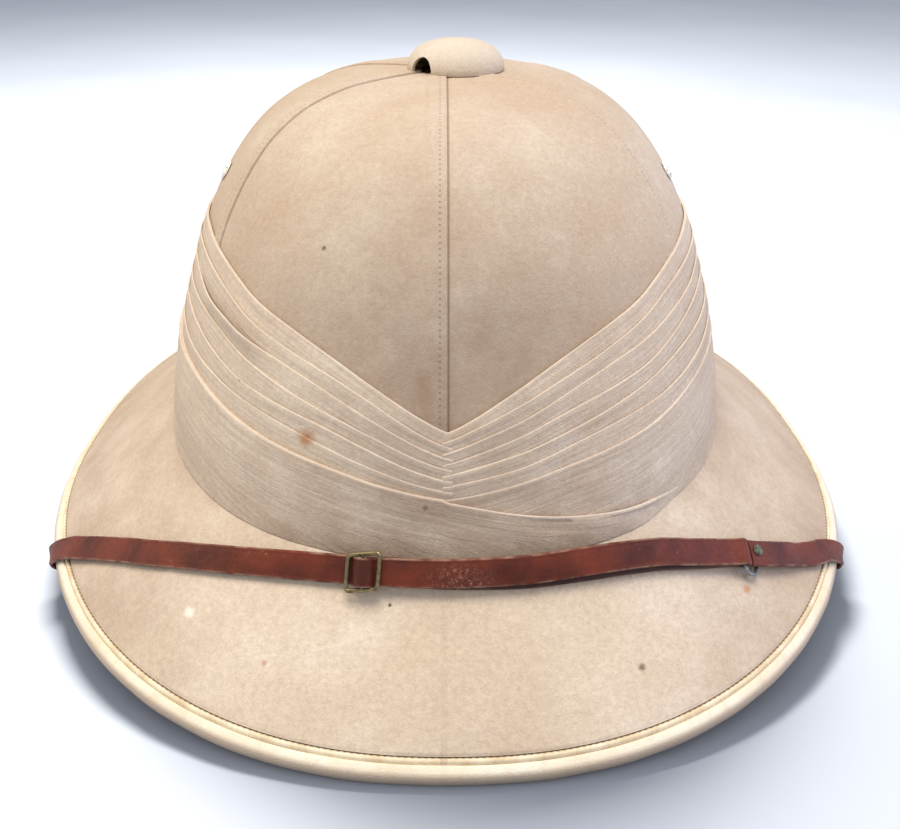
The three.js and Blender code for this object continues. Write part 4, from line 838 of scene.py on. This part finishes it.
notch = bpy.data.objects.new("notch", cutter_mesh)
bpy.context.scene.collection.objects.link(notch)
notch.rotation_euler = (0, 0, math.radians(NOTCH_AZIMUTH))
notch.location = Vector(CAP_AT) / 1000
cut = cap.modifiers.new("notch", "BOOLEAN")
cut.object = notch
cut.operation = "DIFFERENCE"
cut.solver = "EXACT"
bpy.context.view_layer.update()
cut_mesh = bpy.data.meshes.new_from_object(cap.evaluated_get(bpy.context.evaluated_depsgraph_get()))
cap.modifiers.clear()
cap.data = cut_mesh
bpy.data.objects.remove(notch)
for key, kind in (("laid", "FLOAT_VECTOR"), ("soil_and_shade", "FLOAT")):
    cap.data.attributes.new(key, kind, "POINT")
spots = np.array([v.co for v in cap.data.vertices]) * 1000
spots = spots * (1, 1, 0) + (0, 0, 9)
cap.data.attributes["laid"].data.foreach_set("vector", spots.astype(np.float32).ravel())

# VENT PIN. A turned steel post under the cap; only its foot can be seen, through the notch.
# Drawn steel gone dull: a grey metal whose darker blotches are the rougher ones
steel, tree, shader, place = new_material("dull_drawn_steel")
grey = pattern(tree, place, 1.2, 0.35, 0.7, detail=4)
colour = over(tree, linear("#a3a6a8"), "#6d6c69", grey)
dull = node(tree, "ShaderNodeMath", {0: grey, 1: 0.25, 2: 0.32}, operation="MULTIPLY_ADD").outputs[0]
bump = node(tree, "ShaderNodeBump", {"Strength": 0.3, "Distance": 0.0001, "Height": grey}).outputs[0]
feed(tree, shader, {"Base Color": colour, "Metallic": 1, "Roughness": dull, "Normal": bump})
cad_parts["vent_pin"].data.materials.clear()
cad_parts["vent_pin"].data.materials.append(steel)

# EYELETS. A turned-over metal ring at each side, painted to match the cloth, that airs the crown.
EYELET_RADIUS = 3.2
EYELET_HOLE = 1.5
EYELET_HEIGHT = 0.9
EYELET_AZIMUTH = 79
EYELET_CLIMB = 0.48
# White paint on metal: a soft gloss, with chips a millimetre wide that show a warm grey
painted, tree, shader, place = new_material("white_painted_metal")
chips = pattern(tree, place, 1.1, 0.56, 0.62, detail=4)
colour = over(tree, linear("#f3efe6"), "#8d8672", chips)
gloss = node(tree, "ShaderNodeMath", {0: chips, 1: 0.2, 2: 0.3}, operation="MULTIPLY_ADD").outputs[0]
bump = node(tree, "ShaderNodeBump", {"Strength": 0.3, "Distance": 0.0001, "Height": chips}).outputs[0]
feed(tree, shader, {"Base Color": colour, "Roughness": gloss, "Normal": bump})


def turned_ring(name, seat, normal, profile, material, stands_for):
    """A round part turned about its own axis, set on a seat; profile is a closed line of radius, height."""
    normal = Vector(normal)
    side_way = normal.orthogonal().normalized()
    other = normal.cross(side_way)
    rings = []
    for t in np.radians(np.arange(48) * 7.5):
        out = side_way * math.cos(t) + other * math.sin(t)
        rings.append([Vector(seat) + out * radius + normal * height for radius, height in profile])
    return loft(name, np.array(rings), material, stands_for, wrap=True)


for side, hand in ((1, "right"), (-1, "left")):
    seat = crown_out(EYELET_AZIMUTH * side, EYELET_CLIMB, 0.3)
    normal = crown_normal(EYELET_AZIMUTH * side, EYELET_CLIMB)
    line = ((EYELET_RADIUS, 0), (EYELET_RADIUS * 0.97, 0.3), (2.8, 0.62), (2.35, 0.86), (2.0, EYELET_HEIGHT),
            (1.7, 0.72), (EYELET_HOLE, 0.4), (EYELET_HOLE, 0))
    turned_ring(f"eyelet_ring_{hand}", seat, normal, line, painted, [f"eyelet_{hand}"])

# CHIN STRAP. A strip of red-brown harness leather, 8 mm wide and 1.3 mm thick, worn up over the brim.
# It goes from a stud inside, round the rim, through the buckle to the hook, and doubles back.
STRAP_ON_BRIM = (
    (-64.4, 0.9, 0), (-60.5, 0.765, 0), (-54.5, 0.6, 0), (-48, 0.468, 0), (-41.3, 0.355, 0),
    (-35.5, 0.282, 3), (-29.5, 0.22, 6), (-19.5, 0.15, 12), (-10, 0.118, 16), (0, 0.108, 18),
    (11, 0.11, 16), (23.5, 0.14, 9), (34.4, 0.231, 3), (39.5, 0.312, 0), (45.2, 0.414, 0),
    (51.1, 0.555, 0), (56.6, 0.698, 0), (61.2, 0.83, 0), (64.2, 0.91, 0),
)
STRAP_UNDER_BRIM = ((72.5, 0.84), (78, 0.62), (85, 0.38), (90.5, 0.17))
STRAP_ROUND_RIM = ((66.5, 75), (67.1, 35), (67.7, -5), (68.3, -45), (68.9, -80))
STRAP_WIDTH = 8.2
STRAP_THICK = 1.3
STRAP_AIR = 0.5
STRAP_LIFT = GAP + STRAP_THICK / 2
BUCKLE_SHARE = 0.4167
HOOK_SHARE = 0.8343
HOOK_LIFT = 2.6
STUD_AZIMUTH = 91
TRACK_POINTS = 281


def read_rows(at, stations, rows):
    """Vectors read between the stations that they are given at."""
    return np.stack([np.interp(at, stations, rows[:, axis]) for axis in range(3)], -1)


def through(points, count):
    """Points spread evenly along a smooth line through the given ones."""
    points = np.asarray(points, float)
    gaps = np.sqrt(np.maximum(np.linalg.norm(np.diff(points, axis=0), axis=1), 1e-6))
    knots = np.concatenate([[0], np.cumsum(gaps)])
    slopes = np.gradient(points, knots, axis=0)
    fine = np.linspace(0, knots[-1], 24 * len(points))
    i = np.clip(np.searchsorted(knots, fine) - 1, 0, len(gaps) - 1)
    h = gaps[i][:, None]
    t = ((fine - knots[i]) / gaps[i])[:, None]
    line = hermite(t, h, points[i], points[i + 1], slopes[i], slopes[i + 1])
    length = run_along(line)
    return read_rows(np.linspace(0, length[-1], count), length, line)


on_brim = np.array([row[0] for row in STRAP_ON_BRIM], float)
seats = brim_top(on_brim, np.array([row[1] for row in STRAP_ON_BRIM]), np.zeros(len(on_brim)))
track = through(seats, TRACK_POINTS)
row_of = np.array([np.argmin(np.linalg.norm(track - seat, axis=1)) for seat in seats])
lean = np.interp(np.arange(TRACK_POINTS), row_of, [row[2] for row in STRAP_ON_BRIM])
normals = brim_frame(on_brim)[3]
normals = unit(read_rows(np.arange(TRACK_POINTS), row_of, normals))
along = unit(np.gradient(track, axis=0))
tilt = np.radians(lean)[:, None]
normals = normals * np.cos(tilt) + np.cross(along, normals) * np.sin(tilt)
track = track + normals * (STRAP_AIR + np.sin(tilt) * STRAP_WIDTH / 2)
across_track = unit(np.cross(normals, along))
track_run = run_along(track)
STRAP_END = track_run[-1]
BUCKLE_RUN = STRAP_END * BUCKLE_SHARE
HOOK_RUN = STRAP_END * HOOK_SHARE


def strap_frame(run):
    """The strap's seat at that run, its way ahead, its way off the brim and its way across."""
    seat, *ways = (read_rows(run, track_run, rows) for rows in (track, along, normals, across_track))
    return seat, *(unit(way) for way in ways)


def strap_spot(run, lift, aside=0.0):
    seat, _, normal, across = strap_frame(run)
    return seat + normal * lift + across * aside


def inside_wall(azimuth, share, lift):
    foot = foot_corner(azimuth, SKIN + PITH_CROWN + lift, SKIN + PITH_ROOT + lift)
    return foot + (crown_out(azimuth, 0.16, -SKIN - PITH_CROWN - lift) - foot) * share


def hidden_way(side):
    """From the stud inside the crown, under the brim and round the rim; points and normals."""
    hidden_lift = STRAP_LIFT + STRAP_AIR
    spots = []
    for share in (1, 0.65, 0.3, 0):
        spots.append((inside_wall(STUD_AZIMUTH * side, share, hidden_lift),
                      -crown_normal(STUD_AZIMUTH * side, 0.08)))
    for azimuth, share in reversed(STRAP_UNDER_BRIM):
        lift = hidden_lift + (BINDING_LEATHER + GAP if share > 0.8 else 0)
        spots.append((brim_under(azimuth * side, share, lift), -brim_frame(azimuth * side)[3]))
    for azimuth, turn in reversed(STRAP_ROUND_RIM):
        point = roll_point(azimuth * side, turn, ROLL_OUTER + STRAP_LIFT)
        spots.append((point, unit(point - brim_frame(azimuth * side)[2])))
    run = 1.5 if side < 0 else STRAP_END - 1.5
    spots.append((strap_spot(run, STRAP_LIFT + 0.6), strap_frame(run)[2]))
    return spots


def ribbon(name, spots, stands_for, width=STRAP_WIDTH, step=0.8):
    """A leather strip along spots of (point, normal): its section has softly rounded edges."""
    points = np.array([spot[0] for spot in spots])
    long_way = np.linalg.norm(np.diff(points, axis=0), axis=1).sum()
    line = through(points, int(long_way / step))
    length = run_along(line)
    at = np.array([length[np.argmin(np.linalg.norm(line - point, axis=1))] for point in points])
    at = np.maximum.accumulate(at)
    ups = np.array([spot[1] for spot in spots])
    up = read_rows(length, at, ups)
    ahead = unit(np.gradient(line, axis=0))
    up = unit(up - ahead * np.sum(up * ahead, -1, keepdims=True))
    aside = np.cross(up, ahead)
    half, thick = width / 2, STRAP_THICK / 2
    section = [(-half, -0.35), (-half, 0.35), (-half + 0.12, 0.75), (-half + 0.4, 0.95), (-half + 0.8, 1),
               (-half + 1.1, 0.9), (-half + 1.5, 1), (-1.6, 1.05), (0, 1.07), (1.6, 1.05), (half - 1.5, 1),
               (half - 1.1, 0.9), (half - 0.8, 1), (half - 0.4, 0.95), (half - 0.12, 0.75), (half, 0.35),
               (half, -0.35), (half - 0.3, -0.95), (half - 0.8, -1), (half - 1.3, -1), (2, -1), (0.9, -1),
               (0, -1), (-0.9, -1), (-2, -1), (-half + 1.3, -1), (-half + 0.8, -1), (-half + 0.3, -0.95)]
    rings, laid = [], []
    for sideways, height in section:
        rings.append(line + aside * sideways + up * height * thick)
        laid.append(np.stack([length, np.full(len(length), sideways), np.full(len(length), height)], -1))
    rings, laid = np.stack(rings, 1), np.stack(laid, 1)
    rings = rings + up[:, None] * wobble(rings, 5, 0.07)[..., None]
    return loft(name, rings, harness, stands_for, facts={"laid": laid}, sharp=60)


# Harness leather, dyed red-brown and polished by wear: glossy on its flat, paler along its pressed
# edges, crazed and scuffed near the buckle where it bends most
SCUFFED_AT = (3.5, -151.0, 45.0)
SCUFF_FADES = (0.11, 0.22, 0.22)
harness, tree, shader, place = new_material("red_brown_harness_leather")
laid_at = node(tree, "ShaderNodeAttribute", attribute_name="laid").outputs["Vector"]
axes = node(tree, "ShaderNodeSeparateXYZ", {0: laid_at})
side = node(tree, "ShaderNodeMath", {0: axes.outputs[1]}, operation="ABSOLUTE").outputs[0]
warm = pattern(tree, place, 14, 0.38, 0.66, detail=4)
fine = pattern(tree, place, 1.3, 0.35, 0.7, detail=5, rough=0.7)
colour = over(tree, linear("#753019"), "#4b1c0d", warm)
colour = over(tree, colour, "#431c14", fine, 0.35)
rim_line = node(tree, "ShaderNodeMapRange", {0: side, 1: 3.45, 2: 3.8}).outputs[0]
rim_wear = pattern(tree, place, 5, 0.4, 0.6, detail=4)
rim_wear = node(tree, "ShaderNodeMath", {0: rim_line, 1: rim_wear}, operation="MULTIPLY").outputs[0]
colour = over(tree, colour, "#a07c66", rim_wear, 0.7)
# painted shade on the strap's lower face and the lower part of its edges
underside_shade = node(tree, "ShaderNodeMapRange", {0: axes.outputs[2], 1: 0.1, 2: -0.6}).outputs[0]
colour = over(tree, colour, "#33201a", underside_shade, 0.8)
crazing = node(tree, "ShaderNodeTexVoronoi", {"Vector": place, "Scale": 0.75}, feature="DISTANCE_TO_EDGE")
crazing = node(tree, "ShaderNodeMapRange", {0: crazing.outputs[0], 1: 0.05, 2: 0.01}).outputs[0]
apart = node(tree, "ShaderNodeVectorMath", {0: place, 1: SCUFFED_AT}, operation="SUBTRACT").outputs[0]
apart = node(tree, "ShaderNodeVectorMath", {0: apart, 1: SCUFF_FADES}, operation="MULTIPLY").outputs[0]
apart = node(tree, "ShaderNodeVectorMath", {0: apart}, operation="LENGTH").outputs["Value"]
scuffed = node(tree, "ShaderNodeMapRange", {0: apart, 1: 1.3, 2: 0.4}).outputs[0]
flakes = pattern(tree, place, 1.0, 0.5, 0.62, detail=6, rough=0.85, twist=0.6)
scuffs = node(tree, "ShaderNodeMath", {0: scuffed, 1: flakes}, operation="MULTIPLY").outputs[0]
colour = over(tree, colour, "#c0917c", scuffs, 0.55)
loose = pattern(tree, place, 2.4, 0.66, 0.74, detail=5, rough=0.7)
colour = over(tree, colour, "#b08a74", loose, 0.35)
gloss = node(tree, "ShaderNodeMath", {0: fine, 1: 0.16, 2: 0.38}, operation="MULTIPLY_ADD").outputs[0]
rubbed = node(tree, "ShaderNodeMath", {0: scuffs, 1: 0.6}, operation="MULTIPLY").outputs[0]
gloss = node(tree, "ShaderNodeMath", {0: gloss, 1: rubbed}, operation="MAXIMUM").outputs[0]
pits = node(tree, "ShaderNodeMath", {0: crazing, 1: -0.5, 2: fine}, operation="MULTIPLY_ADD").outputs[0]
bump = node(tree, "ShaderNodeBump", {"Strength": 0.4, "Distance": 0.0002, "Height": pits}).outputs[0]
feed(tree, shader, {"Base Color": colour, "Roughness": gloss, "Specular IOR Level": 0.3, "Normal": bump})


def on_strap(run, lift):
    return strap_spot(run, lift), strap_frame(run)[2]


# how far before or past the buckle's bar, and how high the strap's middle is there
WEAVE = ((-8.5, 1), (-4.5, 1.2), (-2.8, 2.2), (-1.4, 4.6), (0, 5.3), (1.4, 4.9), (2.9, 3.2), (4.5, 2.65),
         (7, 2.65))
# shares of the way from the buckle to the hook at which the two layers are placed
DOUBLED = (0.12, 0.24, 0.37, 0.5, 0.62, 0.74, 0.86)
# the fold in the hook: how far past it, how high, and how upright the leather's face is
HAIRPIN = ((-3, 0.7, 1), (-1, 1.55, 1), (0.2, 1.6, 1), (1.2, 1.1, 0.6), (1.65, 0, 0), (1.2, -1.1, -0.6),
           (0.2, -1.6, -1), (-1, -1.55, -1), (-3, -1.4, -1))
TUCKED_END = ((5.5, 0.95), (3.2, 1.35), (0.6, 1.9))


def doubled_run(share):
    return BUCKLE_RUN + 7 + (HOOK_RUN - BUCKLE_RUN - 10) * share


spots = hidden_way(-1)
for part in range(9):
    spots.append(on_strap(9 + (BUCKLE_RUN - 24) * part / 8, STRAP_LIFT + (0.4 if part == 0 else 0)))
spots += [on_strap(BUCKLE_RUN + ahead, lift) for ahead, lift in WEAVE]
spots += [on_strap(doubled_run(share), STRAP_LIFT + STRAP_THICK + GAP) for share in DOUBLED]
_, hook_along, hook_up, _ = strap_frame(HOOK_RUN)
for ahead, above, upright in HAIRPIN:
    turn_up = unit(hook_up * upright + hook_along * (1 - abs(upright)) * (1 if ahead > 0 else 0) + 1e-6)
    spots.append((strap_spot(HOOK_RUN + ahead, HOOK_LIFT + above), turn_up))
spots += [(strap_spot(doubled_run(share), STRAP_LIFT, -1.6 * math.sin(math.pi * share)),
           -strap_frame(doubled_run(share))[2]) for share in reversed(DOUBLED)]
spots += [(on_strap(BUCKLE_RUN + ahead, lift)[0], -on_strap(BUCKLE_RUN + ahead, lift)[1])
          for ahead, lift in TUCKED_END]
ribbon("strap_long", spots, ["chin_strap"])

# SHORT STRAP. The same leather at the right: from its stud round the rim to the hook.
TAB_ON_BRIM = ((0.184, 1.4), (0.367, 1.2), (0.53, 2.2))
spots = hidden_way(1)
for back, lift in TAB_ON_BRIM:
    spots.append(on_strap(STRAP_END - (STRAP_END - HOOK_RUN) * back, lift))
for ahead in (7.5, 3.2):
    spots.append(on_strap(HOOK_RUN + ahead, HOOK_LIFT))
ribbon("strap_short", spots, ["strap_tab"])

# BUCKLE. A frame of round brass wire with a bar across its middle; the strap goes under its left side,
# over the bar and under its right side. It has dulled to olive.
BUCKLE_ALONG = 10.4
BUCKLE_ACROSS = 11.4
BUCKLE_BAR = 1.3
BUCKLE_CORNER = 1.1
BUCKLE_LIFT = 3.6
BUCKLE_TIP = 0.7
# Brass wire, aged: brown blotches of tarnish some 2 mm wide on a soft yellow metal
brass, tree, shader, place = new_material("dulled_brass_wire")
tarnish = pattern(tree, place, 1.9, 0.38, 0.66, detail=5, rough=0.65)
colour = over(tree, linear("#ab9a72"), "#6a5e46", tarnish)
dull = node(tree, "ShaderNodeMath", {0: tarnish, 1: 0.3, 2: 0.3}, operation="MULTIPLY_ADD").outputs[0]
bump = node(tree, "ShaderNodeBump", {"Strength": 0.35, "Distance": 0.0001, "Height": tarnish}).outputs[0]
feed(tree, shader, {"Base Color": colour, "Metallic": 1, "Roughness": dull, "Normal": bump})


def wire(name, line, radius, material, stands_for, closed=False):
    """Round wire along a line of points, with 12 sides."""
    ahead = np.roll(line, -1, 0) - np.roll(line, 1, 0) if closed else np.gradient(line, axis=0)
    ahead = unit(ahead)
    first = Vector(ahead[0]).orthogonal().normalized()
    sides, rings = [], []
    for direction in ahead:
        first = (first - Vector(direction) * first.dot(Vector(direction))).normalized()
        sides.append((np.array(first), np.array(Vector(direction).cross(first))))
    if closed:
        # turn the section a little at each step so that the last meets the first
        back = sides[0][0]
        twist = math.atan2(np.dot(back, sides[-1][1]), np.dot(back, sides[-1][0]))
    for i, (one, two) in enumerate(sides):
        extra = twist * i / len(sides) if closed else 0
        turns = np.radians(np.arange(12) * 30) + extra
        rings.append(line[i] + (np.cos(turns)[:, None] * one + np.sin(turns)[:, None] * two) * radius)
    return loft(name, np.array(rings), material, stands_for, wrap=closed, sharp=80)


seat, b_along, b_up, b_across = strap_frame(BUCKLE_RUN)
half_along, half_across = (BUCKLE_ALONG - BUCKLE_BAR) / 2, (BUCKLE_ACROSS - BUCKLE_BAR) / 2
frame_line = []
for corner_along, corner_across, start_turn in ((1, 1, 0), (-1, 1, 90), (-1, -1, 180), (1, -1, 270)):
    for turn in np.radians(start_turn + np.arange(0, 91, 15)):
        ahead = corner_along * (half_along - BUCKLE_CORNER) + BUCKLE_CORNER * math.cos(turn)
        aside = corner_across * (half_across - BUCKLE_CORNER) + BUCKLE_CORNER * math.sin(turn)
        # wear has pulled the frame out of square, and the strap tips it up towards the hook
        frame_line.append(seat + b_along * (ahead + 0.07 * aside) + b_across * (aside + 0.13 * ahead)
                          + b_up * (BUCKLE_LIFT + BUCKLE_TIP * ahead / half_along))
even = np.array(frame_line + frame_line[:1])
length = run_along(even)
even = read_rows(np.linspace(0, length[-1], 97)[:-1], length, even)
wire("buckle_frame", even, BUCKLE_BAR / 2, brass, ["strap_buckle"], closed=True)
bar = np.array([seat + b_across * a + b_up * BUCKLE_LIFT for a in np.linspace(-half_across, half_across, 16)])
wire("buckle_bar", bar, BUCKLE_BAR / 2 * 0.9, brass, ())

# HOOK. Bent from steel wire: it goes through the long strap's fold and back under the short strap.
HOOK_WIRE = 1.3
# how far past the fold, how far across the strap, and how high
HOOK_BENDS = ((0, 4.4, 2.6), (0, 0, 2.6), (0, -4.8, 2.6), (1.4, -6.1, 2.2), (4, -6.2, 1.6), (6, -4.6, 1),
              (6.6, 0, 1))
bends = [strap_spot(HOOK_RUN + ahead, lift, aside) for ahead, aside, lift in HOOK_BENDS]
wire("hook_wire", through(bends, 60), HOOK_WIRE / 2, steel, ["strap_hook"])

# RIVET. A brass rivet through the short strap over the hook, gone green with verdigris.
# Brass under verdigris: a matt green crust with darker pits
verdigris, tree, shader, place = new_material("brass_with_verdigris")
green = pattern(tree, place, 0.9, 0.4, 0.6, detail=5)
colour = over(tree, linear("#6d7b63"), "#4d4a38", green)
rough = node(tree, "ShaderNodeMath", {0: green, 1: 0.2, 2: 0.5}, operation="MULTIPLY_ADD").outputs[0]
bump = node(tree, "ShaderNodeBump", {"Strength": 0.5, "Distance": 0.0002, "Height": green}).outputs[0]
feed(tree, shader, {"Base Color": colour, "Roughness": rough, "Normal": bump})
head = ((0.0, 0), (1.7, 0), (1.66, 0.3), (1.45, 0.62), (1.0, 0.84), (0.5, 0.9), (0.0, 0.92), (0, 0.5))
lift = HOOK_LIFT + STRAP_THICK / 2 + 0.25
turned_ring("rivet_head", strap_spot(HOOK_RUN + 6, lift, 0.8), strap_frame(HOOK_RUN + 6)[2], head, verdigris,
            ["strap_rivet"])

# STUDS. Two flat steel studs inside the crown that hold the ends of the strap.
for stud in ("anchor_right", "anchor_left"):
    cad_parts[stud].data.materials.clear()
    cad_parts[stud].data.materials.append(steel)

# FLOOR AND LIGHT. A white table top with a soft grey sheen; one broad soft lamp above and behind at
# the left throws the shadow to the right, and pale walls fill in the rest.
# White laminate: an even cool white, half matt, that takes a soft shadow
table_top, tree, shader, place = new_material("white_laminate")
shade = pattern(tree, place, 260, 0.3, 0.75, detail=2)
feed(tree, shader, {"Base Color": over(tree, linear("#ccd1db"), "#c2c8d4", shade), "Roughness": 0.55})
floor_mesh = bpy.data.meshes.new("floor")
floor_mesh.from_pydata([(-4, -2.5, 0), (4, -2.5, 0), (4, 6, 0), (-4, 6, 0)], [], [(0, 1, 2, 3)])
floor_mesh.materials.append(table_top)
floor = bpy.data.objects.new("floor", floor_mesh)
bpy.context.scene.collection.objects.link(floor)


def soft_lamp(name, at, aim, size, power, tint, on_floor):
    """A soft lamp at a place in metres that looks at a point. It lights the floor alone or, as if
    screened from the floor, the helmet alone."""
    data = bpy.data.lights.new(name, "AREA")
    data.shape = "RECTANGLE"
    data.size, data.size_y = size
    data.energy = power
    data.color = linear(tint)[:3]
    lamp = bpy.data.objects.new(name, data)
    lamp.location = at
    lamp.rotation_euler = (Vector(aim) - Vector(at)).to_track_quat("-Z", "Y").to_euler()
    bpy.context.scene.collection.objects.link(lamp)
    lit = bpy.data.collections.new(name)
    lit.objects.link(floor)
    lit.collection_objects[0].light_linking.link_state = "INCLUDE" if on_floor else "EXCLUDE"
    lamp.light_linking.receiver_collection = lit


soft_lamp("ceiling_lamp", (-0.08, -0.3, 1.6), (0, -0.12, 0.05), (0.9, 0.7), 24, "#fff8ee", False)
soft_lamp("left_lamp", (-1.1, -0.05, 0.7), (0, 0, 0.08), (0.7, 0.7), 3.4, "#ffe6c4", False)
soft_lamp("right_fill", (1.1, -0.15, 0.5), (0, 0, 0.08), (0.9, 0.7), 5.2, "#ccd2ff", False)
soft_lamp("table_lamp", (-0.12, 0.6, 1.05), (0.02, 0.05, 0), (0.5, 0.3), 26, "#fffcf6", True)
world = bpy.data.worlds.new("pale_room")
world.use_nodes = True
sky = world.node_tree.nodes["Background"]
sky.inputs[0].default_value = linear("#e9eef8")
sky.inputs[1].default_value = 0.56
bpy.context.scene.world = world
bpy.context.scene.view_settings.view_transform = "Standard"
